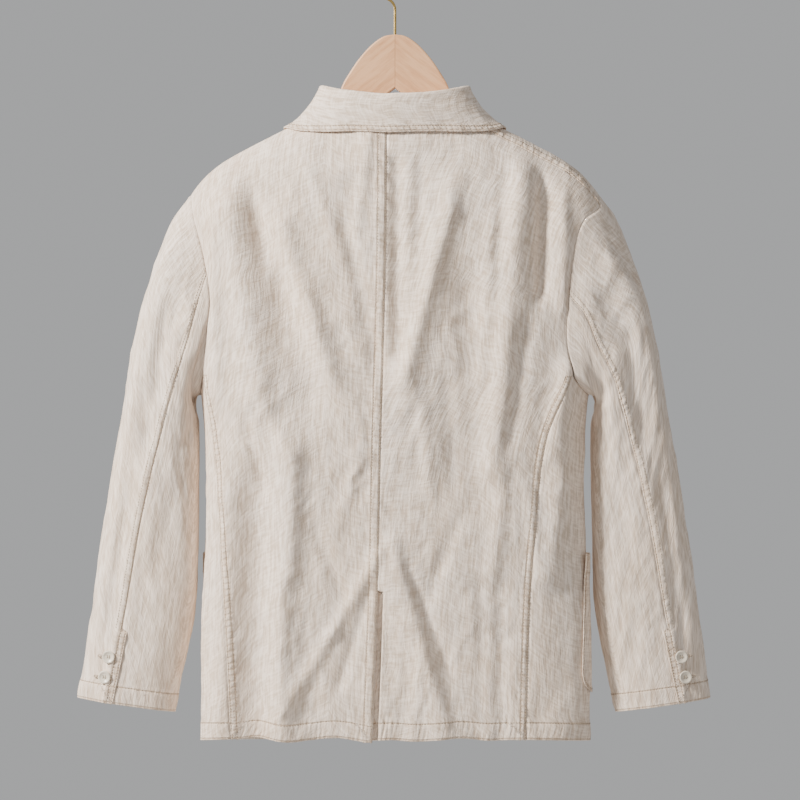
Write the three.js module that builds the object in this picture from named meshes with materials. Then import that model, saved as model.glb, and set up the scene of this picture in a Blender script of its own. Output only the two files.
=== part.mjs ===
// Single-breasted linen blazer hanging on a flat wooden hanger, seen from all sides.
// Millimetres. +Z is up, the front faces -Y, the back faces +Y, the wearer's left is +X.
// The origin is the inner top of the hanger's hook, where a rail would carry it.
import * as THREE from "three";

// ---- cloth ----
const WALL = 1.5; // linen with what is turned in
const GAP = 0.3; // between two pieces at a seam
const LAP = 2.2; // how far a piece that lies on a panel is moved out

// ---- body: rings of a soft, squared oval ----
const HALF_WIDTH = [
  [-120, 262], [-264, 258], [-336, 240], [-417, 233], [-468, 227],
  [-510, 221], [-570, 218], [-650, 219], [-750, 223], [-900, 225],
];
const HALF_DEPTH = [
  [-120, 30], [-176, 37], [-264, 47], [-336, 52], [-480, 55], [-600, 52], [-750, 49], [-900, 47],
];
const SQUARE = 3; // power of the oval
const SHOULDER_DROP = 90; // the front and back fall away from the shoulder over this height
const NECK_X = 78;
const NECK_Z = -160;
const TIP_X = 236; // shoulder tip
const SHOULDER_SLOPE = 0.5;
const SHOULDER_TURN = 22; // extra drop at the tip
const UNDERARM_Z = -468;
const UNDERARM_DIP = 22;
const BACK_HEM_Z = -886;
const FRONT_HEM_Z = -892;
const BACK_NECK_Z = -176;

// ---- seams, as distances from the middle plane at a height ----
const CENTRE_BACK = [[-120, 9], [-320, 10], [-560, 16], [-715, 19.5], [-900, 26.5]];
const ARMHOLE_BACK_LEFT = [[-120, 236], [-262, 236], [-336, 218.5], [-382, 211], [-420, 216], [-468, 221]];
const ARMHOLE_BACK_RIGHT = [[-120, 236], [-262, 232], [-302, 212], [-348, 202], [-417, 197], [-468, 201]];
const SIDE_SEAM_LEFT = [[-468, 221], [-531, 211], [-612, 201], [-681, 197], [-773, 192], [-900, 187]];
const SIDE_SEAM_RIGHT = [[-468, 201], [-543, 173], [-635, 162], [-727, 155], [-900, 150]];
const ARMHOLE_FRONT = [[-120, 236], [-262, 234], [-302, 214], [-350, 203], [-417, 199], [-468, 208]];
const RIGHT_SHOULDER_SEAM_DROP = 13; // the right shoulder seam lies behind the ridge

// ---- back vent ----
const VENT_TOP_Z = -715;
const VENT_LAP = 32;
const VENT_DEPTH = 2.6;

// ---- fronts ----
const CENTRE_FRONT = -4;
const FRONT_OVERLAP = 20; // each front passes the middle by this
const BREAK_Z = -468; // top button, where the lapel starts to roll
const GORGE_ROW = 4;

// ---- pockets ----
const POCKET_TOP_Z = -674;
const POCKET_HEIGHT = 160;
const POCKET_CORNER = 24;
const POCKET_WIDTH = 168;
const POCKET_FROM_BACK = 240; // along the body from the centre back seam

// ---- sleeves: outer and inner edge, top to cuff ----
const SLEEVE_OUTER = [
  [0, 236, -261], [0.08, 255, -286], [0.2, 275, -332], [0.34, 294, -393],
  [0.5, 311, -480], [0.7, 332, -610], [0.85, 349, -725], [1, 366, -841],
];
const SLEEVE_INNER = [
  [0, 225, -490], [0.12, 230, -497], [0.34, 228.5, -512], [0.5, 227, -545],
  [0.7, 227.5, -640], [0.85, 232.5, -745], [1, 256, -857],
];
const SLEEVE_HALF_DEPTH = [[0, 37], [0.2, 42], [0.45, 41], [0.7, 34], [0.9, 28], [1, 27]];
const SLEEVE_FORWARD = [[0, 0], [0.3, 5], [0.6, 10], [1, 10]];
const ELBOW_SEAM = [[0.1, 88], [0.2, 99], [0.3, 106], [0.4, 103], [0.5, 96], [0.65, 85], [0.8, 76], [1, 71]];
const CUFF_VENT_START = 0.885;
const SLEEVE_GAP = 0.7; // a little more, where the cloth turns sharply
const UNDERARM_EASE = 7;
const SLEEVE_START = 0.4; // the sleeve starts this much past the body's edge
const SLEEVE_START_LOW = 1.6; // and this much where it doubles back under the arm

// ---- collar ----
const COLLAR_STAND = [[0, 31], [0.45, 27], [0.62, 24], [0.8, 12], [1, 5]];
const COLLAR_ROLL = 3.4;

// ---- buttons ----
const FRONT_BUTTON_R = 10;
const CUFF_BUTTON_R = 7.5;
const FRONT_BUTTON_Z = [-482, -587, -692];

// ---- hanger ----
const WOOD_THICKNESS = 13;
const HOOK_WIRE_R = 1.6;
const HOOK_INNER_R = 17;
const HANGER_TOP_Z = -75;

const rad = Math.PI / 180;
const mix = (a, b, k) => a + (b - a) * k;
const clamp01 = (k) => Math.min(1, Math.max(0, k));
const ease = (k) => { const c = clamp01(k); return c * c * (3 - 2 * c); };
const vec = (x, y, z) => new THREE.Vector3(x, y, z);

// A smooth line through knots [place, value, ...]; places may rise or fall.
function through(knots, place, column = 1) {
  const up = knots[knots.length - 1][0] > knots[0][0];
  const last = knots.length - 1;
  const before = (k) => (up ? place < k : place > k);
  if (before(knots[0][0])) return knots[0][column];
  let i = 0;
  while (i < last && !before(knots[i + 1][0])) i += 1;
  if (i >= last) return knots[last][column];
  const slope = (k) => {
    const lo = Math.max(0, k - 1);
    const hi = Math.min(last, k + 1);
    return (knots[hi][column] - knots[lo][column]) / (knots[hi][0] - knots[lo][0]);
  };
  const h = knots[i + 1][0] - knots[i][0];
  const t = (place - knots[i][0]) / h;
  const t2 = t * t;
  const t3 = t2 * t;
  return (2 * t3 - 3 * t2 + 1) * knots[i][column] + (t3 - 2 * t2 + t) * h * slope(i)
    + (3 * t2 - 2 * t3) * knots[i + 1][column] + (t3 - t2) * h * slope(i + 1);
}

// ---- the body's surface ----
function shoulderLine(x) {
  const out = Math.abs(x) - NECK_X;
  const turn = out > 0 ? SHOULDER_TURN * (out / (TIP_X - NECK_X)) ** 8 : 0;
  return NECK_Z - SHOULDER_SLOPE * out - turn;
}

function fullness(x, z) {
  const drop = clamp01((shoulderLine(x) - z) / SHOULDER_DROP);
  return Math.sqrt(1 - (1 - drop) ** 2);
}

// The largest folds of the hanging cloth: a line from one place to another, its
// half-width and how far it stands out (or sinks, below zero).
const BACK_FOLDS = [
  [192, -270, 158, -480, 20, 5],
  [150, -290, 100, -480, 22, -6],
  [128, -300, 72, -470, 14, 4],
  [190, -610, 196, -860, 16, 5],
  [158, -600, 160, -880, 20, -6],
  [124, -560, 128, -870, 18, 5],
  [-62, -270, -14, -480, 16, 4],
  [-2, -230, -4, -440, 9, -4],
  [-90, -380, -92, -600, 22, -4],
  [-146, -230, -112, -570, 15, 5],
  [-172, -240, -168, -370, 10, -4],
  [-196, -470, -178, -690, 14, 4],
  [4, -700, -52, -880, 15, 4],
  [-96, -720, -90, -890, 12, -3],
];
const FRONT_FOLDS = [
  [150, -300, 120, -620, 22, 5],
  [100, -420, 84, -640, 20, -4],
  [-150, -300, -124, -620, 22, 5],
  [-96, -430, -84, -660, 20, -4],
  [186, -400, 176, -640, 14, -3],
  [-186, -400, -178, -640, 14, -3],
  [60, -760, 66, -890, 16, 4],
  [-58, -740, -66, -890, 16, -3],
];

function foldHeight(folds, x, z) {
  let sum = 0;
  for (const [x0, z0, x1, z1, width, height] of folds) {
    const length = Math.hypot(x1 - x0, z1 - z0);
    const dx = (x1 - x0) / length;
    const dz = (z1 - z0) / length;
    const along = (x - x0) * dx + (z - z0) * dz;
    const across = (x - x0) * dz - (z - z0) * dx;
    const beyond = Math.max(0, -along, along - length);
    sum += height * Math.exp(-((across / width) ** 2) - (beyond / (1.6 * width)) ** 2);
  }
  return sum;
}

function ovalLevel(x, y, z) {
  const a = through(HALF_WIDTH, z);
  const b = through(HALF_DEPTH, z) * fullness(x, z);
  return (Math.abs(x) / a) ** SQUARE + (Math.abs(y) / b) ** SQUARE;
}

// A point of the outer cloth with its outward direction, before any gap.
function finishPoint(x, y, z) {
  const n = vec(0, 0, 1);
  if (shoulderLine(x) - z < 0.4 && Math.abs(x) > NECK_X - 1) {
    const e = 0.5;
    n.set(-(shoulderLine(x + e) - shoulderLine(x - e)) / (2 * e), 0, 1);
    n.y = y / 12;
  } else {
    const e = 0.02;
    n.set(
      ovalLevel(x + e, y, z) - ovalLevel(x - e, y, z),
      ovalLevel(x, y + e, z) - ovalLevel(x, y - e, z),
      ovalLevel(x, y, z + e) - ovalLevel(x, y, z - e),
    );
  }
  n.normalize();
  const ridge = ease((shoulderLine(x) - z - 6) / 60);
  const flat = ease(Math.abs(y) / 18);
  const push = foldHeight(y > 0 ? BACK_FOLDS : FRONT_FOLDS, x, z) * ridge * flat;
  const p = vec(x, y, z).addScaledVector(vec(n.x, n.y, 0).normalize(), push);
  return { p, n };
}

// face is 1 for the back and -1 for the front.
function onFace(x, z, face) {
  const a = through(HALF_WIDTH, z);
  const b = through(HALF_DEPTH, z) * fullness(x, z);
  const y = face * b * Math.max(0, 1 - (Math.abs(x) / a) ** SQUARE) ** (1 / SQUARE);
  return finishPoint(x, y, z);
}

// turn is 0 at the back, 90 at the wearer's left side and 180 at the front.
function onRing(turn, z) {
  const a = through(HALF_WIDTH, z);
  const s = Math.sin(turn * rad);
  const c = Math.cos(turn * rad);
  const x = a * Math.sign(s) * Math.abs(s) ** (2 / SQUARE);
  const b = through(HALF_DEPTH, z) * fullness(x, z);
  return finishPoint(x, b * Math.sign(c) * Math.abs(c) ** (2 / SQUARE), z);
}

function turnOf(x, z, face) {
  const t = Math.asin(Math.min(1, (Math.abs(x) / through(HALF_WIDTH, z)) ** (SQUARE / 2))) / rad;
  return Math.sign(x) * (face > 0 ? t : 180 - t);
}

// step runs along the body over the shoulder: its square is the height below the
// shoulder line, above zero on the back and below zero on the front.
function overShoulder(x, step) {
  return onFace(x, shoulderLine(x) - step * step, step >= 0 ? 1 : -1);
}

// ---- closed sheets from points with outward directions ----
// grid[row][column] is { p, n } or null where the sheet has no cloth.
function sheet(name, grid, material, gap = GAP) {
  const at = grid.map((row) => row.map(() => -1));
  const outer = [];
  grid.forEach((row, r) => row.forEach((cell, c) => {
    if (cell) {
      at[r][c] = outer.length;
      outer.push({ p: cell.p.clone(), n: cell.n.clone().normalize() });
    }
  }));
  const faces = [];
  const corner = (a, b, c) => faces.push([a, b, c]);
  for (let r = 0; r + 1 < grid.length; r += 1) {
    for (let c = 0; c + 1 < grid[r].length; c += 1) {
      const q = [at[r][c], at[r][c + 1], at[r + 1][c + 1], at[r + 1][c]];
      const have = q.filter((i) => i >= 0);
      if (have.length === 4) {
        corner(q[0], q[1], q[2]);
        corner(q[0], q[2], q[3]);
      } else if (have.length === 3) corner(...have);
    }
  }
  // The faces follow the outward directions given with the points.
  let agree = 0;
  for (const [a, b, c] of faces) {
    const ab = outer[b].p.clone().sub(outer[a].p);
    agree += ab.cross(outer[c].p.clone().sub(outer[a].p)).dot(outer[a].n);
  }
  if (agree < 0) faces.forEach((f) => f.reverse());
  return closeSheet(name, outer, faces, material, gap);
}

function closeSheet(name, outer, faces, material, gap) {
  const edges = new Map();
  for (const f of faces) {
    for (let k = 0; k < 3; k += 1) {
      const a = f[k];
      const b = f[(k + 1) % 3];
      if (edges.has(`${b}_${a}`)) edges.delete(`${b}_${a}`);
      else edges.set(`${a}_${b}`, { a, b, c: f[(k + 2) % 3] });
    }
  }
  // Every border steps back by half a gap, along the cloth.
  const steps = new Map();
  for (const { a, b, c } of edges.values()) {
    const along = outer[b].p.clone().sub(outer[a].p).normalize();
    const inward = outer[c].p.clone().sub(outer[a].p);
    inward.addScaledVector(along, -inward.dot(along)).normalize();
    for (const k of [a, b]) {
      if (!steps.has(k)) steps.set(k, []);
      steps.get(k).push(inward);
    }
  }
  for (const [k, list] of steps) {
    const sum = list.reduce((s, v) => s.add(v), vec(0, 0, 0));
    const even = sum.clone().normalize();
    const reach = Math.max(0.6, even.dot(list[0]));
    outer[k].p.addScaledVector(even, (gap / 2) / reach);
  }
  const count = outer.length;
  const places = [];
  for (const { p } of outer) places.push(p.x, p.y, p.z);
  for (const { p, n } of outer) {
    places.push(p.x - n.x * WALL, p.y - n.y * WALL, p.z - n.z * WALL);
  }
  const index = [];
  for (const [a, b, c] of faces) index.push(a, b, c, a + count, c + count, b + count);
  for (const { a, b } of edges.values()) {
    index.push(a, a + count, b + count, a, b + count, b);
  }
  return solid(name, places, index, material);
}

function solid(name, places, index, material) {
  const geometry = new THREE.BufferGeometry();
  geometry.setAttribute("position", new THREE.Float32BufferAttribute(places, 3));
  geometry.setIndex(index);
  geometry.computeVertexNormals();
  const mesh = new THREE.Mesh(geometry, material);
  mesh.name = name;
  return mesh;
}

const paint = (colour, roughness) => new THREE.MeshStandardMaterial({ color: colour, roughness });
const linen = () => paint(0xd9cfc2, 0.95);
const buttonHorn = () => paint(0xe4dccb, 0.4);
const beech = () => paint(0xcbb09a, 0.6);
const brass = () => new THREE.MeshStandardMaterial({ color: 0xb9975a, roughness: 0.3, metalness: 1 });

// ---- rows and columns of the body ----
const UPPER_ROWS = 9;
const LOWER_ROWS = 12;
const NECK_COLUMNS = 5;
const SHOULDER_COLUMNS = 9;
const UNDERARM_COLUMNS = 5;

function lowerHeight(row, hem) {
  return mix(UNDERARM_Z, hem, row / LOWER_ROWS);
}

// side is 1 for the wearer's left and -1 for the right. Everything on the right is
// worked out mirrored, so seams are given as distances from the middle plane.
function half(side) {
  const left = side > 0;
  const seamDrop = left ? 0 : RIGHT_SHOULDER_SEAM_DROP;
  const centreBack = (z) => side * through(CENTRE_BACK, z);
  const backEdge = (z) => {
    if (z >= UNDERARM_Z) return through(left ? ARMHOLE_BACK_LEFT : ARMHOLE_BACK_RIGHT, z);
    return through(left ? SIDE_SEAM_LEFT : SIDE_SEAM_RIGHT, z);
  };
  const frontEdge = (z) => (z >= UNDERARM_Z ? through(ARMHOLE_FRONT, z)
    : through(ARMHOLE_FRONT, UNDERARM_Z) - 8 * ease((UNDERARM_Z - z) / 120));
  // the front's own edge at the middle, and its roll line above the break
  const reach = CENTRE_FRONT * side - FRONT_OVERLAP;
  const frontMiddle = (z) => {
    const k = clamp01((z - BREAK_Z) / (NECK_Z - BREAK_Z));
    return mix(reach, NECK_X, k);
  };
  return { side, left, seamDrop, centreBack, backEdge, frontEdge, frontMiddle, reach };
}

// x here is mirrored: the wearer's own side is positive.
function place(h, x, z, face) {
  return onFace(h.side * x, z, face);
}

// Height of the back's top edge: the neckline, then the shoulder seam.
function backTop(h, x) {
  const seam = shoulderLine(x) - h.seamDrop;
  if (x >= NECK_X) return seam;
  const k = clamp01(Math.abs(x) / NECK_X);
  return mix(BACK_NECK_Z, shoulderLine(NECK_X) - h.seamDrop, k * k);
}

function backColumns(h) {
  const list = [];
  const centre = h.centreBack(-170);
  for (let i = 0; i < NECK_COLUMNS; i += 1) {
    list.push((mix(centre, NECK_X, i / NECK_COLUMNS) - centre) / (TIP_X - centre));
  }
  for (let i = 0; i <= SHOULDER_COLUMNS; i += 1) {
    list.push((mix(NECK_X, TIP_X, i / SHOULDER_COLUMNS) - centre) / (TIP_X - centre));
  }
  return list;
}

function backX(h, s, z) {
  const tipped = h.backEdge(z);
  return mix(h.centreBack(z), tipped, s);
}

// One column's height at a row above the underarm. Close rows round the shoulder.
function upperHeight(top, row) {
  return mix(top, UNDERARM_Z, (row / UPPER_ROWS) ** 2);
}

function backCell(h, s, row) {
  if (row > UPPER_ROWS) {
    const z = lowerHeight(row - UPPER_ROWS, BACK_HEM_Z);
    return place(h, backX(h, s, z), z, 1);
  }
  const xTop = mix(h.centreBack(-170), TIP_X, s);
  let z;
  if (h.seamDrop && xTop >= NECK_X) {
    const first = Math.sqrt(h.seamDrop / (shoulderLine(xTop) - UNDERARM_Z));
    z = mix(shoulderLine(xTop), UNDERARM_Z, mix(first, 1, row / UPPER_ROWS) ** 2);
  } else if (h.seamDrop) {
    z = mix(backTop(h, xTop), UNDERARM_Z, mix(0.08, 1, (row / UPPER_ROWS)) ** 1.7 - 0.08 ** 1.7 * (1 - row / UPPER_ROWS));
  } else z = upperHeight(backTop(h, xTop), row);
  const k = row / UPPER_ROWS;
  const x = mix(xTop, backX(h, s, z), xTop >= TIP_X - 1 ? ease(k * 6) : ease(k * 2));
  return place(h, x, z, 1);
}

function backPanel(h) {
  const columns = backColumns(h);
  const grid = [];
  for (let row = 0; row <= UPPER_ROWS + LOWER_ROWS; row += 1) {
    grid.push(columns.map((s) => backCell(h, s, row)));
  }
  return grid;
}

// ---- fronts ----
// Rows above the underarm run from the shoulder seam; on the right the seam lies
// behind the ridge, so the first rows pass over it.
function frontSteps(h, x) {
  const deep = Math.sqrt(shoulderLine(x) - UNDERARM_Z);
  const steps = [];
  if (h.seamDrop) steps.push(Math.sqrt(h.seamDrop), Math.sqrt(h.seamDrop) * 0.5);
  for (let row = 0; row <= UPPER_ROWS; row += 1) steps.push(-deep * (row / UPPER_ROWS));
  return steps;
}

function frontGrid(h) {
  const grid = [];
  const extra = h.seamDrop ? 2 : 0;
  for (let row = 0; row <= UPPER_ROWS + extra; row += 1) {
    const line = [];
    for (let i = 0; i <= SHOULDER_COLUMNS + UNDERARM_COLUMNS; i += 1) {
      if (i > SHOULDER_COLUMNS) {
        line.push(row === UPPER_ROWS + extra ? underarmCell(h, i - SHOULDER_COLUMNS) : null);
      } else {
        const s = i / SHOULDER_COLUMNS;
        const xTop = mix(NECK_X, TIP_X, s);
        const step = frontSteps(h, xTop)[row];
        const z = shoulderLine(xTop) - step * step;
        const k = clamp01((row - extra) / UPPER_ROWS);
        const x = mix(xTop, mix(h.frontMiddle(z), h.frontEdge(z), s),
          i === SHOULDER_COLUMNS ? ease(k * 6) : ease(k * 3));
        const xRoll = i === 0 ? h.frontMiddle(z) : x;
        const xHere = step > 0 ? xTop : xRoll;
        line.push(place(h, xHere, z, step >= 0 ? 1 : -1));
      }
    }
    grid.push(line);
  }
  for (let row = 1; row <= LOWER_ROWS; row += 1) {
    const z = lowerHeight(row, FRONT_HEM_Z);
    const line = [];
    for (let i = 0; i <= SHOULDER_COLUMNS + UNDERARM_COLUMNS; i += 1) {
      if (i <= SHOULDER_COLUMNS) {
        line.push(place(h, mix(h.reach, h.frontEdge(z), i / SHOULDER_COLUMNS), z, -1));
      } else {
        line.push(sideCell(h, (i - SHOULDER_COLUMNS) / UNDERARM_COLUMNS, row));
      }
    }
    grid.push(line);
  }
  return grid;
}

// Round the side, from the front's armhole column to the side-back seam.
function sideCell(h, k, row) {
  const z = mix(lowerHeight(row, FRONT_HEM_Z), lowerHeight(row, BACK_HEM_Z), k);
  const from = turnOf(h.frontEdge(z), z, -1);
  const to = turnOf(h.backEdge(z), z, 1);
  return onRing(h.side * mix(from, to, k), z);
}

function underarmCell(h, i) {
  const k = i / UNDERARM_COLUMNS;
  const z = UNDERARM_Z - UNDERARM_DIP * Math.sin(Math.PI * k) ** 0.8;
  const from = turnOf(h.frontEdge(UNDERARM_Z), UNDERARM_Z, -1);
  const to = turnOf(h.backEdge(UNDERARM_Z), UNDERARM_Z, 1);
  return onRing(h.side * mix(from, to, k), z);
}

const group = new THREE.Group();
const left = half(1);
const right = half(-1);

// The back vent: the left back lies on top, the right back runs on beneath it.
function ventedBacks() {
  const leftGrid = backPanel(left);
  const rightGrid = backPanel(right);
  const ventRow = UPPER_ROWS + Math.round((VENT_TOP_Z - UNDERARM_Z) / (BACK_HEM_Z - UNDERARM_Z) * LOWER_ROWS);
  rightGrid.forEach((row, r) => {
    const under = [];
    for (let i = 2; i >= 1; i -= 1) {
      if (r <= ventRow) under.push(null);
      else {
        const z = row[0].p.z;
        const cell = onFace(left.centreBack(z) - 7 + (VENT_LAP / 2) * i, z, 1);
        cell.p.addScaledVector(cell.n, -VENT_DEPTH);
        under.push(cell);
      }
    }
    if (r > ventRow) {
      const z = row[0].p.z;
      const shift = onFace(left.centreBack(z) - 7, z, 1);
      row[0] = { p: shift.p.clone(), n: shift.n };
      const step = onFace(left.centreBack(z) - 6, z, 1);
      step.p.addScaledVector(step.n, -VENT_DEPTH);
      under.push(step);
    } else under.push(null);
    row.unshift(...under);
  });
  return { leftGrid, rightGrid };
}

const backs = ventedBacks();
group.add(sheet("back_left", backs.leftGrid, linen()));
group.add(sheet("back_right", backs.rightGrid, linen()));

const frontLeft = frontGrid(left);
const frontRight = frontGrid(right);
// Below the break the right front lies under the left one.
function tuckUnder(grid, h) {
  for (const line of grid) {
    for (const cell of line) {
      if (!cell) continue;
      const x = h.side * cell.p.x;
      const below = ease((BREAK_Z + 130 - cell.p.z) / 40);
      if (cell.p.y < 0) {
        const near = 1 - ease((x - h.reach - 40) / 45);
        cell.p.addScaledVector(cell.n, -(WALL + 0.9) * near * below);
      }
    }
  }
}
tuckUnder(frontRight, right);
group.add(sheet("front_left", frontLeft, linen()));
group.add(sheet("front_right", frontRight, linen()));

// ---- sleeves ----
// The armhole as a loop of points: down the back edge from the shoulder seam, under
// the arm along the front's top edge, and up the front edge again.
function armholeLoop(backGrid, front, isLeft) {
  const extra = isLeft ? 0 : 2;
  const loop = [];
  for (let row = 0; row <= UPPER_ROWS; row += 1) loop.push(backGrid[row][backGrid[row].length - 1]);
  const underarm = UPPER_ROWS + extra;
  for (let i = UNDERARM_COLUMNS - 1; i >= 0; i -= 1) loop.push(front[underarm][SHOULDER_COLUMNS + i]);
  for (let row = underarm - 1; row >= 1; row -= 1) loop.push(front[row][SHOULDER_COLUMNS]);
  return loop;
}

function loopAngles(loop) {
  let low = 0;
  loop.forEach((cell, i) => { if (cell.p.z < loop[low].p.z) low = i; });
  const run = [0];
  for (let i = 1; i <= loop.length; i += 1) {
    run.push(run[i - 1] + loop[i - 1].p.distanceTo(loop[i % loop.length].p));
  }
  return loop.map((cell, i) => (i <= low ? 180 * run[i] / run[low]
    : 180 + 180 * (run[i] - run[low]) / (run[loop.length] - run[low])));
}

// A sleeve ring: angle 0 is its outer edge, 90 the back, 180 the inner edge.
function sleeveRing(side, angle, t) {
  const ox = through(SLEEVE_OUTER, t, 1);
  const oz = through(SLEEVE_OUTER, t, 2);
  const ix = through(SLEEVE_INNER, t, 1);
  const iz = through(SLEEVE_INNER, t, 2);
  const c = Math.cos(angle * rad);
  const s = Math.sin(angle * rad);
  const wide = Math.sign(c) * Math.abs(c) ** 0.9;
  const deep = Math.sign(s) * Math.abs(s) ** 0.9;
  return vec(
    side * ((ox + ix) / 2 + wide * (ox - ix) / 2),
    deep * through(SLEEVE_HALF_DEPTH, t) - through(SLEEVE_FORWARD, t),
    (oz + iz) / 2 + wide * (oz - iz) / 2,
  );
}

// Soft folds of the sleeve, as on the body, in angle and length.
const SLEEVE_FOLDS = [
  [40, 0.1, 48, 0.6, 16, 3],
  [72, 0.14, 76, 0.6, 16, -3],
  [110, 0.42, 66, 0.56, 12, 2],
  [320, 0.15, 310, 0.7, 18, 3],
  [285, 0.2, 280, 0.6, 16, -3],
];

function sleeveFold(angle, t) {
  let sum = 0;
  for (const [a0, t0, a1, t1, width, height] of SLEEVE_FOLDS) {
    const k = clamp01((t - t0) / (t1 - t0));
    const fade = ease((t - t0) / 0.12 + 0.5) * ease((t1 - t) / 0.12 + 0.5);
    sum += height * fade * Math.exp(-(((angle - mix(a0, a1, k)) / width) ** 2));
  }
  return sum;
}

const SLEEVE_STEPS = [0, 0.06, 0.12, 0.19, 0.26, 0.33, 0.41, 0.49, 0.57, 0.65, 0.73, 0.8,
  0.86, 0.88, 0.9, 0.95, 1];
const BACK_SEAM_POINT = 6; // where the elbow seam meets the armhole

function sleeveGrid(side, loop) {
  const isLeft = side > 0;
  const angles = loopAngles(loop);
  const frontSeam = loop.length - 6;
  const elbow0 = angles[BACK_SEAM_POINT];
  const front0 = angles[frontSeam];
  const turned = (angle, t) => {
    const elbow = through([[0, elbow0], ...ELBOW_SEAM], t);
    const front = mix(front0, 232, ease(t / 0.5));
    if (angle <= elbow0) return angle * elbow / elbow0;
    if (angle <= front0) return mix(elbow, front, (angle - elbow0) / (front0 - elbow0));
    return mix(front, 360, (angle - front0) / (360 - front0));
  };
  const rows = SLEEVE_STEPS.map((t) => loop.map((cell, i) => {
    const angle = turned(angles[i], t);
    const start = cell.p.clone().sub(sleeveRing(side, angles[i], 0));
    // Under the arm the cloth first leaves the body, then hangs.
    const low = ease((cell.p.z + 390) / -50);
    const away = side * UNDERARM_EASE * low * ease(t / 0.07) * (1 - ease((t - 0.1) / 0.35));
    return sleeveRing(side, angle, t).addScaledVector(start, 1 - ease(t / 0.36)).add(vec(away, 0, 0));
  }));
  const n = loop.length;
  return rows.map((row, r) => row.map((p, i) => {
    const around = row[(i + 1) % n].clone().sub(row[(i + n - 1) % n]);
    const down = rows[Math.min(r + 1, rows.length - 1)][i].clone().sub(rows[Math.max(r - 1, 0)][i]);
    const normal = down.cross(around).normalize().multiplyScalar(side);
    const t = SLEEVE_STEPS[r];
    const push = sleeveFold(turned(angles[i], t), t) * ease((t - 0.03) / 0.12) * ease((1 - t) / 0.15);
    const moved = p.clone().addScaledVector(normal, push);
    if (r === 0) {
      const agree = ease((normal.dot(loop[i].n) - 0.2) / 0.5) * ease((loop[i].p.z + 430) / 40);
      normal.lerp(loop[i].n, agree).normalize();
      const low = ease((loop[i].p.z + 405) / -30);
      moved.addScaledVector(rows[1][i].clone().sub(p).normalize(), mix(SLEEVE_START, SLEEVE_START_LOW, low));
    }
    return { p: moved, n: normal };
  }));
}

function sleeve(side, backGrid, front) {
  const word = side > 0 ? "left" : "right";
  const loop = armholeLoop(backGrid, front, side > 0);
  const grid = sleeveGrid(side, loop);
  const n = loop.length;
  const frontSeam = n - 6;
  const under = grid.map((row) => row.slice(BACK_SEAM_POINT, frontSeam + 1));
  // The top sleeve laps over the under sleeve along the cuff's vent.
  const top = grid.map((row, r) => {
    const cells = [];
    for (let i = frontSeam; i <= n; i += 1) cells.push({ p: row[i % n].p.clone(), n: row[i % n].n.clone() });
    for (let i = 1; i <= BACK_SEAM_POINT; i += 1) cells.push({ p: row[i].p.clone(), n: row[i].n.clone() });
    const lifted = SLEEVE_STEPS[r] > CUFF_VENT_START - 0.01;
    const lapped = SLEEVE_STEPS[r] > CUFF_VENT_START + 0.01;
    const seam = cells[cells.length - 1];
    if (lifted) seam.p.addScaledVector(seam.n, LAP);
    if (!lapped) cells.push(null);
    else {
      const next = row[BACK_SEAM_POINT + 1];
      const toward = next.p.clone().sub(row[BACK_SEAM_POINT].p).normalize();
      const bend = seam.n.clone().lerp(next.n, 0.7).normalize();
      cells.push({ p: seam.p.clone().addScaledVector(toward, 11), n: bend });
    }
    return cells;
  });
  group.add(sheet(`top_sleeve_${word}`, top, linen(), SLEEVE_GAP));
  group.add(sheet(`under_sleeve_${word}`, under, linen(), SLEEVE_GAP));
  return top;
}

const topLeft = sleeve(1, backs.leftGrid, frontLeft);
const topRight = sleeve(-1, backs.rightGrid, frontRight);

// ---- collar ----
const COLLAR_EDGE = [
  [0, 9, 8.1], [0.25, 50, 6.6], [0.42, 84, 5.2], [0.55, 112, 3.4], [0.64, 125, 1.2],
  [0.72, 127, -2], [0.85, 122, -4.8], [1, 108, -6.9],
];

function neckPoints(front, backGrid, isLeft) {
  const extra = isLeft ? 0 : 2;
  const skip = isLeft ? 0 : 3;
  const list = [];
  for (let i = 0; i <= NECK_COLUMNS; i += 1) list.push(backGrid[0][skip + i]);
  for (let row = 1; row <= GORGE_ROW + extra; row += 1) list.push(front[row][0]);
  return list;
}

// Grid normals by differences, for sheets made across the cloth.
function withNormals(points, sign) {
  const rows = points.length;
  return points.map((row, r) => row.map((p, c) => {
    const down = points[Math.min(r + 1, rows - 1)][c].clone().sub(points[Math.max(r - 1, 0)][c]);
    const across = row[Math.min(c + 1, row.length - 1)].clone().sub(row[Math.max(c - 1, 0)]);
    return { p, n: across.cross(down).normalize().multiplyScalar(sign) };
  }));
}

// Keep a point of a lying piece at least this far above the cloth beneath it.
function above(p, lift) {
  if (p.z > shoulderLine(p.x) - 0.5) return p;
  const base = onFace(p.x, p.z, p.y >= 0 ? 1 : -1);
  const height = p.clone().sub(base.p).dot(base.n);
  return height >= lift ? p : p.addScaledVector(base.n, lift - height);
}

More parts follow.
